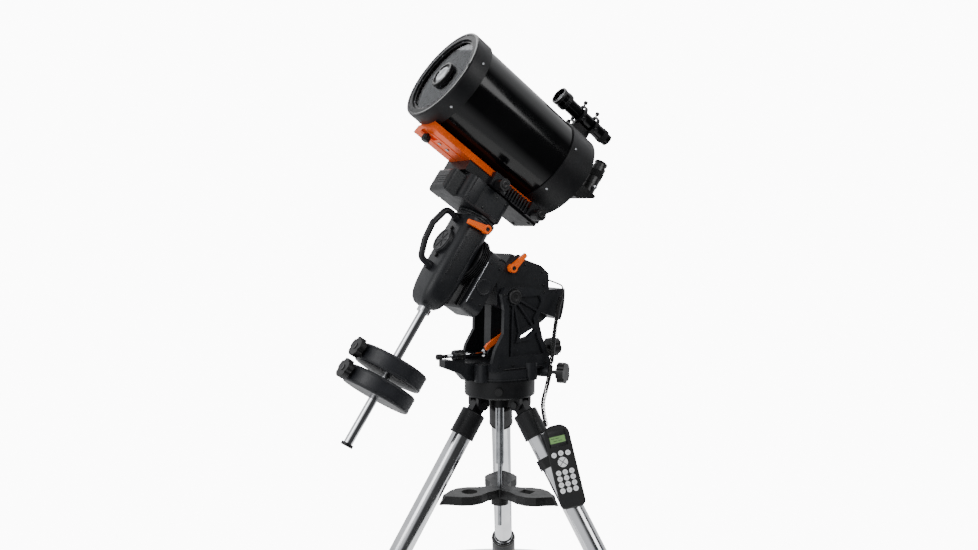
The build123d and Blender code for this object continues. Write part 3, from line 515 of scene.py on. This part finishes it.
def socketScrew(radius=3.0, height=2.4):
    # a cap screw with its hexagon socket
    piece = turned([(0, radius), (height, radius)], 24, 0.3)
    bpy.ops.object.select_all(action="DESELECT")
    bpy.ops.mesh.primitive_circle_add(
        vertices=6, radius=radius * 0.5, fill_type="NGON", location=(0, 0, height + 0.02)
    )
    recess = bpy.context.object
    bpy.ops.object.mode_set(mode="EDIT")
    bpy.ops.mesh.select_all(action="SELECT")
    bpy.ops.mesh.inset(thickness=radius * 0.1, depth=-height * 0.5)
    bpy.ops.object.mode_set(mode="OBJECT")
    piece.select_set(True)
    bpy.context.view_layer.objects.active = piece
    bpy.ops.object.join()
    return piece


def around(axisPoint, radius, w, turns):
    # places round an axis along y, facing outwards
    spots = []
    for turn in turns:
        a = math.radians(turn)
        out = Vector((math.cos(a), 0, math.sin(a)))
        spots.append(home @ aim(Vector(axisPoint) + Vector((0, w, 0)) + out * radius, out))
    return spots


print("helpers ready")


# tube: cell screws, corrector retainer, secondary ring and cap, rear rim and vents
tubeSizes = {
    "axis": 328,
    "cell": 123.5,
    "cellScrews": {"front": (-244, 0.3), "rear": (84, 2.3)},
    "lensFace": -264,
    "retainer": (97.5, 103.9),
    "retainerScrews": 100.6,
    "lip": (116, 122.6),
    "secondary": (27.5, 33.2),
    "collimationScrews": 24.2,
    "rearRim": 150,
    "rearLip": (111, 119.8),
    "visualBack": (25.1, 28.4),
    "vents": (98, 8.5),
    "ventTurns": {"A": 30, "B": 150, "C": 270},
    "focusKnob": (-52, 178.5, 298),
}
axisPoint = (0, 0, tubeSizes["axis"])
for end, (w, sink) in tubeSizes["cellScrews"].items():
    strew(lambda: socketScrew(3.2, 1.8), end + "CellScrew", zincPlate, "tube",
          around(axisPoint, tubeSizes["cell"] - sink, w, range(15, 375, 60)))
front = home @ Matrix.Translation((0, tubeSizes["lensFace"], tubeSizes["axis"])) @ spun(90, "X")
settle(ring(*tubeSizes["retainer"], 0.2, 3.6, 128), "correctorRetainer", blackAnodised, "tube", front)
strew(lambda: socketScrew(2.2, 1.2), "retainerScrew", zincPlate, "tube",
      [front @ spun(t) @ Matrix.Translation((tubeSizes["retainerScrews"], 0, 3.4))
       for t in range(0, 360, 45)])
settle(ring(*tubeSizes["lip"], 7.6, 8.6, 128, 0.4), "frontLip", glossBlackEnamel, "tube", front)
settle(ring(*tubeSizes["secondary"], 6.9, 9.2, 64), "secondaryRing", blackAnodised, "tube", front)
settle(
    turned([(6.9, 21), (8.4, 20), (8.4, 14), (7.4, 13)], 48), "secondaryCap", silverAnodised, "tube", front
)
strew(lambda: socketScrew(2.6, 1.8), "collimationScrew", zincPlate, "tube",
      [front @ spun(t + 30) @ Matrix.Translation((tubeSizes["collimationScrews"], 0, 6.9))
       for t in (0, 120, 240)])
back = home @ Matrix.Translation((0, tubeSizes["rearRim"], tubeSizes["axis"])) @ spun(-90, "X")
settle(ring(*tubeSizes["rearLip"], 0.2, 2.2, 128), "rearCellRim", blackAnodised, "tube", back)
settle(ring(*tubeSizes["visualBack"], 32, 44, 64), "visualBackCollar", blackAnodised, "tube", back)
strew(
    lambda: turned([(0, 3), (7, 3), (7, 7), (15, 7)], 24, 0.4, 0.8), "visualBackScrew", silverAnodised,
    "tube", around(axisPoint, 27.5, 190, (30, 150))
)
for label, turn in tubeSizes["ventTurns"].items():
    out = Matrix.Translation((tubeSizes["vents"][0], 0, tubeSizes["vents"][1]))
    settle(ring(9.5, 12, 0.2, 2.6, 40), "coolingVent" + label, blackAnodised, "tube",
           back @ spun(turn) @ out @ spun(20, "Y"))
settle(turned([(0, 14.6), (2, 15), (20, 15), (22, 14.6)], 36, 0.3, 0.7), "focusGrip", blackRubber, "focuser",
       home @ aim(tubeSizes["focusKnob"], (0, 1, 0)))

# eyepiece: a ribbed rubber band and a soft eye guard; a bright lock screw on the diagonal
eyepieceSizes = {"axis": 245, "screwHeight": 362, "screwReach": 19}
ocular = home @ aim((0, eyepieceSizes["axis"], 0), (0, 0, 1))
settle(
    turned([(393, 20.6), (394, 21.2), (412, 21.2), (413, 20.6)], 48, 0.3, 0.6), "eyepieceGrip", blackRubber,
    "ocular", ocular
)
settle(ring(11.5, 18.4, 436, 441.5, 64, 1.2), "eyeGuard", blackRubber, "ocular", ocular)
settle(
    turned([(428, 11.2), (434.5, 11), (434.5, 9), (433.8, 8)], 40, 0.2), "eyeLens", coatedGlass, "ocular",
    ocular
)
strew(
    lambda: turned([(0, 2.6), (5, 2.6), (5, 5.5), (12, 5.5)], 20, 0.4, 0.7), "diagonalScrew",
    silverAnodised, "diagonal",
    [
        home @ aim(
            (x * eyepieceSizes["screwReach"], eyepieceSizes["axis"], eyepieceSizes["screwHeight"]),
            (x, 0, 0)
        )
        for x in (1, -1)
    ]
)

# finder: lens, knurled rings and six thumb screws
finderSizes = {"axis": 503, "rings": (112, 160), "screwCircle": 32}
sight = home @ aim((0, 0, finderSizes["axis"]), (0, 1, 0))
settle(
    turned([(36, 19.6), (37.5, 19.6), (38.6, 14), (39, 6)], 48, 0), "finderLens", coatedGlass, "tube", sight
)
settle(ring(20.5, 24.2, 30.5, 38, 64, 1), "finderRim", blackAnodised, "tube", sight)
settle(
    turned([(50, 23.2), (51, 24), (60, 24), (61, 23.2)], 56, 0.2, 0.6), "finderFocusRing", blackAnodised,
    "tube", sight
)
settle(ring(15.8, 19.2, 196, 212, 64, 0.8), "finderEyeRing", blackRubber, "tube", sight)
settle(ring(8.3, 15.9, 222, 226.4, 64, 0.8), "finderEyeGuard", blackRubber, "tube", sight)
finderSpots = []
for w in finderSizes["rings"]:
    finderSpots += around((0, 0, finderSizes["axis"]), finderSizes["screwCircle"], w, (90, 210, 330))
strew(
    lambda: turned([(0, 2.4), (3, 2.4), (3, 5.6), (9.5, 5.6)], 20, 0.4, 0.8), "finderThumbScrew",
    blackAnodised, "tube", finderSpots
)

# dovetail: two drawn rails along its underside, cap screws and the stop knob
barSizes = {"bottom": 187, "rails": (-20, 20), "railMiddle": -70, "screws": (-185, -160), "stop": -222}
for x in barSizes["rails"]:
    settle(block((3, 330, 1.6), 0.6), f"dovetailRail{'Near' if x > 0 else 'Far'}", orangeAnodised, "tube",
           home @ Matrix.Translation((x, barSizes["railMiddle"], barSizes["bottom"] - 0.4)))
strew(lambda: socketScrew(5, 2.2), "dovetailScrew", zincPlate, "tube",
      [home @ aim((0, w, barSizes["bottom"] + 0.4), (0, 0, -1)) for w in barSizes["screws"]])
settle(
    turned([(0, 4), (5, 4), (5, 10), (9, 11), (18, 11), (20, 9)], 24, 0.5, 0.8), "stopKnob",
    blackMouldedNylon, "tube", home @ aim((0, barSizes["stop"], barSizes["bottom"] + 0.5), (0, 0, -1))
)
print("tube detailed")


# saddle: a finned clamp rail between the two knobs, knob caps
saddleSizes = {
    "fins": 8, "finStart": 9, "finPitch": 9, "knobs": (-25, 103), "knobFace": (93, 176.3),
    "underside": 160.6
}
strew(
    lambda: block((12, 4.5, 30), 1.0), "saddleFin", blackPowderCoat, "declination",
    [
        home @ Matrix.Translation((58, saddleSizes["finStart"] + saddleSizes["finPitch"] * i, 181))
        for i in range(saddleSizes["fins"])
    ]
)
settle(
    block((5, 118, 12), 1.2), "saddleRail", graphitePowderCoat, "declination",
    home @ Matrix.Translation((55.5, 39, 172))
)
strew(
    lambda: turned([(0, 9), (1.6, 9), (1.6, 5), (0.9, 4)], 32, 0.4), "saddleKnobCap", blackAnodised,
    "saddle_clamps",
    [
        home @ aim((saddleSizes["knobFace"][0], w, saddleSizes["knobFace"][1]), (1, 0, 0))
        for w in saddleSizes["knobs"]
    ]
)
strew(lambda: socketScrew(4, 2.4), "saddleScrew", blackAnodised, "declination",
      [home @ aim((x, w, saddleSizes["underside"]), (0, 0, -1)) for x in (-34, 34) for w in (-100, 116)])
# head and motor cover: a raised blank panel, screws, a raised seam whose lighter grey is a painted highlight
# along its edge, and four ribs
headSizes = {
    "side": 57.9, "screws": ((-8, 150), (22, 150), (22, 108), (-30, 108)), "seam": -101,
    "ribs": (-138.2, 110, 6)
}
settle(block((64, 30, 3), 2.5, (3, 0.8)), "headPanel", graphitePowderCoat, "right_ascension",
       home @ aim((58.4, -66, 130), (1, 0, 0), 90))
strew(lambda: socketScrew(2.6, 1.6), "headScrew", blackAnodised, "right_ascension",
      [home @ aim((headSizes["side"], w, v), (1, 0, 0)) for w, v in headSizes["screws"]])
# the seam strip is a real raised seam; its lighter cover grey is a painted highlight along the seam's edge
settle(
    block((80, 1.4, 57), 0.5), "motorSeamWithPaintedHighlight", greyMouldedAbs, "right_ascension",
    home @ Matrix.Translation((0, headSizes["seam"], 120))
)
strew(
    lambda: block((58, 1.6, 1.6), 0.5), "motorRib", greyMouldedAbs, "right_ascension",
    [
        home @ Matrix.Translation(
            (0, headSizes["ribs"][0], headSizes["ribs"][1] + headSizes["ribs"][2] * i)
        )
        for i in range(4)
    ]
)
# declination body: neck rings, side ridges, the port cap's ring and ribs
bodySizes = {"side": 51.6, "ridge": -24, "ridges": {"front": -24, "rear": 12}, "cap": -52.6, "lugs": 39}
settle(ring(47.5, 49.6, 84, 87.5, 96, 0.8), "neckRing", greyMouldedAbs, "right_ascension", home)
settle(ring(47.5, 50.4, 90, 96, 96, 1.2), "neckCollar", graphitePowderCoat, "right_ascension", home)
for x in (-1, 1):
    side = "Near" if x > 0 else "Far"
    for end, w in bodySizes["ridges"].items():
        outwards = aim((x * bodySizes["side"], w, bodySizes["ridge"]), (x, 0, 0), 90 if x > 0 else -90)
        settle(
            block((3.4, 104, 5), 1.6, (1, 0.4)), end + "Ridge" + side, graphitePowderCoat,
            "right_ascension", home @ outwards @ spun(90)
        )
settle(
    ring(25, 31, 0, 1.8, 64, 0.6), "portCapRing", greyMouldedAbs, "port_cap",
    home @ aim((0, bodySizes["cap"], 0), (0, -1, 0))
)
strew(lambda: block((44, 3, 2), 0.8), "portCapRib", greyMouldedAbs, "port_cap",
      [home @ aim((0, bodySizes["cap"] - 0.6, 0), (0, -1, 0), turn) for turn in (0, 60, 120)])
strew(lambda: turned([(0, 5), (4, 5), (5, 3.5)], 24, 0.5), "portCapLug", blackMouldedNylon, "right_ascension",
      [home @ aim((0, -44.2, v), (0, -1, 0)) for v in (bodySizes["lugs"], -bodySizes["lugs"])])
# cooling fins in the gap before the gear case
strew(lambda: ring(56.2, 61, -1.1, 1.1, 72, 0.4), "polarFin", blackPowderCoat, "right_ascension",
      [home @ aim((0, w, 0), (0, 1, 0)) for w in (35.5, 40.5, 45.5, 50.5)])
strew(lambda: block((8, 5, 100), 1.6), "gearCaseFin", blackPowderCoat, "altitude",
      [home @ Matrix.Translation((x, 52.4, -68)) for x in (-40, -24, 24, 40)])
# gear case: bright front edge, round boss, cover screws
caseSizes = {"side": 59.8, "screws": ((66, 10), (94, 10), (66, -92), (94, -92))}
settle(
    turned([(0, 21), (3, 20), (3, 17), (2.2, 16)], 56, 0.5), "gearCaseBoss", graphitePowderCoat, "altitude",
    home @ aim((caseSizes["side"], 79, -50), (1, 0, 0))
)
settle(
    block((3, 2.4, 112), 1), "gearCaseEdge", silverAnodised, "altitude",
    home @ Matrix.Translation((58.6, 57, -48))
)
strew(lambda: socketScrew(2.6, 1.8), "gearCaseScrew", blackAnodised, "altitude",
      [home @ aim((caseSizes["side"], w, v), (1, 0, 0)) for w, v in caseSizes["screws"]])
# levers: an orange ring and a dark hexagon socket on each hub
declinationHub = home @ aim((65.25, 8, 70), (1, 0, 0))
polarHub = ground @ aim((68.25, -3, 951), (1, 0, 0))
for name, place, body in (
    ("declinationLever", declinationHub, "declination_clutch"), ("polarLever", polarHub, "polar_clutch")
):
    settle(ring(5.6, 10.4, 0, 1.4, 48, 0.5), name + "Ring", orangePowderCoat, body, place)
    settle(
        turned([(0, 6), (0.6, 5.8), (0.6, 4), (0.2, 3.6)], 6, 0.15), name + "Socket", blackAnodised, body,
        place, 20
    )
settle(
    turned([(0, 6), (4, 6), (7, 5), (9, 3)], 24, 0.4), "motorPlug", blackMouldedNylon, "right_ascension",
    home @ aim((51.6, -30, 66), (1, 0, 0))
)
# polar casing: roof cap, side screws and a connector panel at the back
connectorSizes = {"back": 113.4, "height": 914, "sockets": (-24, -6, 12)}
settle(
    turned([(0, 9), (5, 9), (9, 7), (11, 4)], 32, 0.6), "roofCap", blackMouldedNylon, "altitude",
    ground @ aim((38, 30, 972), (0, -0.35, 1))
)
strew(lambda: socketScrew(3, 2), "casingScrew", blackAnodised, "altitude",
      [ground @ aim((54.8, y, z), (1, 0, 0)) for y, z in ((-34, 972), (92, 938), (96, 905), (40, 958))])
settle(
    block((70, 40, 3), 2, (3, 0.8)), "connectorPanel", blackMouldedNylon, "altitude",
    ground @ aim((0, connectorSizes["back"], connectorSizes["height"]), (0, 1, 0))
)
strew(
    lambda: ring(3.6, 6.4, 0, 4, 32, 0.5), "connectorSocket", silverAnodised, "altitude",
    [
        ground @ aim((x, connectorSizes["back"] + 1, connectorSizes["height"]), (0, 1, 0))
        for x in connectorSizes["sockets"]
    ]
)
# fork plates: pivot caps with their rings, screws and a trim along the deck
forkSizes = {
    "pivot": (-8, 882), "face": 73.8,
    "screws": ((-50, 712), (-10, 712), (40, 712), (88, 712), (-36, 886), (84, 890)), "screwAxis": 738
}
for x in (-1, 1):
    side = "Near" if x > 0 else "Far"
    pivot = ground @ aim((x * 78.8, *forkSizes["pivot"]), (x, 0, 0))
    settle(
        turned([(0, 18), (4, 18), (7, 15), (7, 9), (4.5, 7)], 48, 0.8), "pivotCap" + side,
        blackMouldedNylon, "altitude", pivot
    )
    settle(ring(19.5, 22, -5.6, -2.8, 64, 0.8), "pivotRing" + side, graphitePowderCoat, "azimuth", pivot)
    strew(lambda: socketScrew(3, 2), "forkScrew" + side, blackAnodised, "azimuth",
          [ground @ aim((x * forkSizes["face"], y, z), (x, 0, 0)) for y, z in forkSizes["screws"]])
    strew(
        lambda: block((3.4, 118, 4), 1.4), "deckTrim" + side, blackPowderCoat, "azimuth",
        [ground @ Matrix.Translation((x * 73.4, 20, 704))]
    )
settle(
    turned([(0, 4.8), (16, 4.8), (16, 7), (17, 7.5), (28, 7.5), (29, 6.5)], 24, 0.4, 0.7), "noseKnob",
    blackMouldedNylon, "front_screw", ground @ aim((0, -153.5, forkSizes["screwAxis"]), (0, -1, 0))
)
settle(
    turned([(0, 13.2), (2, 14), (20, 14), (22, 13.2)], 32, 0.4, 0.9), "screwCollar", blackAnodised,
    "azimuth", ground @ aim((0, -133, forkSizes["screwAxis"]), (0, 1, 0))
)
settle(ring(84.2, 86.5, 676, 680, 128, 0.8), "azimuthScale", graphitePowderCoat, "azimuth", ground)
# declination housing: a drawn shell with rounded corners and a domed end, its neck and its worm wheel cover
shellSizes = {"width": 104, "depth": 76, "top": 82, "waist": -66, "corner": 23,
              "dome": [(-92, 0.985), (-116, 0.94), (-135, 0.86), (-149, 0.74), (-158, 0.56), (-162, 0.34)]}
shell = block((shellSizes["width"], shellSizes["depth"], shellSizes["top"] - shellSizes["waist"]), 0)
shell.data.transform(Matrix.Translation((0, -6, (shellSizes["top"] + shellSizes["waist"]) / 2)))
pick(shell, lambda face: False)
bpy.ops.object.mode_set(mode="OBJECT")
bpy.context.tool_settings.mesh_select_mode = (False, True, False)
for edge in shell.data.edges:
    low, high = (shell.data.vertices[v].co for v in edge.vertices)
    edge.select = abs(low.z - high.z) > 1
bpy.ops.object.mode_set(mode="EDIT")
bpy.ops.mesh.bevel(offset=shellSizes["corner"], segments=9, affect="EDGES")
bpy.ops.object.mode_set(mode="OBJECT")
pick(shell, lambda face: face.normal.z < -0.9)
was = shellSizes["waist"]
scale = 1
for height, share in shellSizes["dome"]:
    bpy.ops.mesh.extrude_region_move(TRANSFORM_OT_translate={"value": (0, 0, height - was)})
    bpy.ops.transform.resize(value=(share / scale, share / scale, 1))
    was = height
    scale = share
bpy.ops.object.mode_set(mode="OBJECT")
bevel(shell, 2.5, 3, 50)
settle(shell, "declinationShell", graphitePowderCoat, "right_ascension", home, 50)
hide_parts("declination_housing")
settle(
    turned([(78, 47.9), (90, 47.9), (96.6, 47.4)], 96, 0.5), "declinationNeck", graphitePowderCoat,
    "right_ascension", home
)
settle(
    turned([(30, 55.9), (46, 55.9), (54, 54.5)], 96, 0.8), "wormWheelCover", blackPowderCoat,
    "right_ascension", home @ aim((0, 0, 0), (0, 1, 0))
)
settle(
    turned([(50, 23.9), (139.5, 23.9)], 64, 0.4), "polarShaft", polishedStainless, "right_ascension",
    home @ aim((0, 0, 0), (0, 1, 0))
)
print("mount detailed")

# legs: black collars with a clamp boss, ribs on the leg tops and rubber feet
legSizes = {"turns": {"north": 265, "east": 25, "west": 145}, "hinge": (60, 0, 612), "splay": 32,
            "collar": (-622.3, -555.7), "foot": (-705, -656), "boss": 589}


def legPlace(side):
    # a leg's own frame: its hinge at the origin, the tube down the z axis
    outwards = ground @ spun(legSizes["turns"][side]) @ Matrix.Translation(legSizes["hinge"])
    return outwards @ spun(-legSizes["splay"], "Y")


for side in legSizes["turns"]:
    leg = legPlace(side)
    settle(
        ring(25.5, 33.6, *legSizes["collar"], 64, 1.5), side + "Collar", blackMouldedNylon, side + "_leg",
        leg
    )
    settle(
        ring(22.6, 34.6, legSizes["collar"][1] - 9, legSizes["collar"][1] - 4, 64, 1), side + "CollarRib",
        blackMouldedNylon, side + "_leg", leg
    )
    settle(ring(4.3, 11.8, 33, 41.9, 40, 0.8), side + "ClampBoss", blackMouldedNylon, side + "_leg",
           leg @ aim((0, 0, -legSizes["boss"]), (1, 0, 0)))
    settle(ring(22.2, 24.8, *legSizes["foot"], 64, 0.9), side + "Foot", blackRubber, side + "_leg_lower", leg)
    settle(ring(25.6, 31.4, -91, -86, 64, 1), side + "SocketRib", blackPowderCoat, side + "_leg", leg)
print("legs detailed")

# hand control: a black bezel round the window, a split pad, key marks and dashes on the screen
handSizes = {"clip": (34.4, 29, -186), "turn": -62, "lean": -14, "window": (56, 72), "frame": (48, 85),
             "bezelFace": 26.9, "keyFace": 28.1, "screenFace": 26.6}
hand = (legPlace("east") @ spun(handSizes["turn"])
        @ Matrix.Translation(handSizes["clip"]) @ spun(handSizes["lean"], "X"))
low, high = handSizes["frame"]
bezel = (
    ("Low", (44, handSizes["window"][0] - low, 1.2), 0, (low + handSizes["window"][0]) / 2),
    ("High", (44, high - handSizes["window"][1], 1.2), 0, (high + handSizes["window"][1]) / 2),
    ("Left", (3.2, high - low, 1.2), -20.5, (low + high) / 2),
    ("Right", (3.2, high - low, 1.2), 20.5, (low + high) / 2),
)
for name, size, y, z in bezel:
    upright = hand @ Matrix.Translation((handSizes["bezelFace"], y, z)) @ spun(90)
    settle(block(size, 0.3), "windowFrame" + name, blackMouldedNylon, "east_leg",
           upright @ spun(90, "X"))
strew(lambda: block((23, 1.5, 0.8), 0.2), "padSplit", blackMouldedNylon, "pad",
      [hand @ Matrix.Translation((handSizes["keyFace"], 0, 9.5)) @ spun(90, "Y") @ spun(turn)
       for turn in (45, 135)])
keySpots = [(-17, 29), (0, 31), (17, 29)] + [
    (16 * column, -14 - 14 * row) for row in range(4) for column in (-1, 0, 1)
]
strew(lambda: block((0.9, 3.4, 0.3), 0.1), "keyMark", blackMouldedNylon, "keys",
      [hand @ Matrix.Translation((handSizes["keyFace"], y, z)) @ spun(90, "Y") for y, z in keySpots])
strew(
    lambda: block((1.2, 9, 0.5), 0.2), "screenDash", flatBlackPaint, "east_leg",
    [
        hand @ Matrix.Translation((handSizes["screenFace"], y, z)) @ spun(90, "Y") for y,
        z in ((-11, 67), (0, 67), (-6, 61), (6, 61))
    ]
)
print("hand control detailed")

# counterweights: a lip at each edge, a bright hub and a cap on the knob
weightSizes = {
    "heights": {"upper": -327, "lower": -383}, "lip": (84.5, 86.7), "hub": (13.5, 22), "knob": -108
}
for name, v in weightSizes["heights"].items():
    settle(
        ring(*weightSizes["lip"], v - 17, v - 14, 128, 0.8), name + "WeightLip", castIronPaint,
        name + "_weight", home
    )
    settle(
        ring(*weightSizes["lip"], v + 14, v + 17, 128, 0.8), name + "WeightEdge", castIronPaint,
        name + "_weight", home
    )
    settle(
        ring(*weightSizes["hub"], v + 20.6, v + 22.2, 64, 0.6), name + "WeightHub", hardChrome,
        name + "_weight", home
    )
    settle(turned([(0, 8), (1.4, 8), (1.4, 5), (0.9, 4)], 32, 0.3), name + "WeightKnobCap", blackAnodised,
           name + "_weight_knob", home @ aim((0, weightSizes["knob"], v), (0, -1, 0)))
print("counterweights detailed")


# cords: a smooth line through the route, then a tube along it or a coil round it
def spline(name, route):
    curve = bpy.data.curves.new(name, "CURVE")
    curve.dimensions = "3D"
    curve.resolution_u = 24
    line = curve.splines.new("NURBS")
    line.points.add(len(route) - 1)
    for point, place in zip(line.points, route):
        point.co = (*[c * mm for c in place], 1)
    line.order_u = 3
    line.use_endpoint_u = True
    carrier = bpy.data.objects.new(name, curve)
    bpy.context.scene.collection.objects.link(carrier)
    bpy.context.view_layer.update()
    mesh = bpy.data.meshes.new_from_object(carrier)
    path = [v.co.copy() for v in mesh.vertices]
    bpy.data.objects.remove(carrier)
    bpy.data.meshes.remove(mesh)
    return path


def walk(path):
    # distance along the path at each of its points
    reach = [0]
    for a, b in zip(path, path[1:]):
        reach.append(reach[-1] + (b - a).length)
    return reach


def sweepTube(name, path, radius, sides=12):
    # rings carried along the path without twist, joined into a closed tube
    tangent = (path[1] - path[0]).normalized()
    across = tangent.orthogonal().normalized()
    vertices = []
    faces = []
    for i, place in enumerate(path):
        ahead = (path[min(i + 1, len(path) - 1)] - path[max(i - 1, 0)]).normalized()
        across = (across - ahead * across.dot(ahead)).normalized()
        other = ahead.cross(across)
        for s in range(sides):
            angle = 2 * math.pi * s / sides
            vertices.append(place + (across * math.cos(angle) + other * math.sin(angle)) * radius)
        if i:
            low = (i - 1) * sides
            high = i * sides
            faces += [
                (low + s, low + (s + 1) % sides, high + (s + 1) % sides, high + s) for s in range(sides)
            ]
    faces += [tuple(reversed(range(sides))), tuple(range(len(vertices) - sides, len(vertices)))]
    mesh = bpy.data.meshes.new(name)
    mesh.from_pydata([v[:] for v in vertices], [], faces)
    mesh.update()
    piece = bpy.data.objects.new(name, mesh)
    bpy.context.scene.collection.objects.link(piece)
    for face in mesh.polygons:
        face.use_smooth = True
    return piece


def helix(path, radius, pitch, phase, ease=0.03, stepsPerTurn=16):
    # a curly cord's own line: it leaves the middle line gently and winds round it
    reach = walk(path)
    total = reach[-1]
    turns = round(total / pitch)
    steps = turns * stepsPerTurn
    tangent = (path[1] - path[0]).normalized()
    across = tangent.orthogonal().normalized()
    line = []
    at = 0
    for k in range(steps + 1):
        s = total * k / steps
        while at < len(reach) - 2 and reach[at + 1] < s:
            at += 1
        share = (s - reach[at]) / max(reach[at + 1] - reach[at], 1e-9)
        middle = path[at].lerp(path[at + 1], share)
        ahead = (path[at + 1] - path[at]).normalized()
        across = (across - ahead * across.dot(ahead)).normalized()
        other = ahead.cross(across)
        swell = min(1, (s / total) / ease, ((total - s) / total) / ease)
        angle = 2 * math.pi * (turns * k / steps) + phase
        line.append(middle + (across * math.cos(angle) + other * math.sin(angle)) * radius * swell)
    return line


cordFacts = {"lead": 4.0, "wire": 3.1, "coil": 12.0, "pitch": 3.6}
leadRoute = [(48, 113.4, 918), (48, 136, 911), (72, 151, 900), (78, 136, 878)]
middleRoute = [(78, 136, 878), (84, 121, 856), (86, 112, 812), (88, 104, 776), (93, 98, 744), (103, 85, 712)]
lowerRoute = [(103, 85, 712), (109, 77.2, 692.8), (120, 58, 655), (126, 38, 612), (147, 40, 568.5)]

leadPath = spline("leadLine", leadRoute)
leadCord = sweepTube("leadCord", leadPath, cordFacts["lead"] / 2 * mm)
leadCord.data.materials.append(blackPvc)
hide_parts("cord_lead")
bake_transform(leadCord)
print("lead cord", walk(leadPath)[-1])

coils = (
    ("middleCoil", middleRoute, 0, "cord_coil_middle", ("azimuth", "tripod")),
    ("lowerCoil", lowerRoute, 0.6, "cord_coil_lower", ("tripod", "east_leg")),
)
for name, route, phase, node, pair in coils:
    middle = spline(name + "Line", route)
    line = helix(middle, (cordFacts["coil"] - cordFacts["wire"]) / 2 * mm, cordFacts["pitch"] * mm, phase)
    coil = sweepTube(name, line, cordFacts["wire"] / 2 * mm, 8)
    coil.data.materials.append(blackPvc)
    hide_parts(node)
    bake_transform(coil)
    print(name, "length", round(walk(line)[-1], 3))
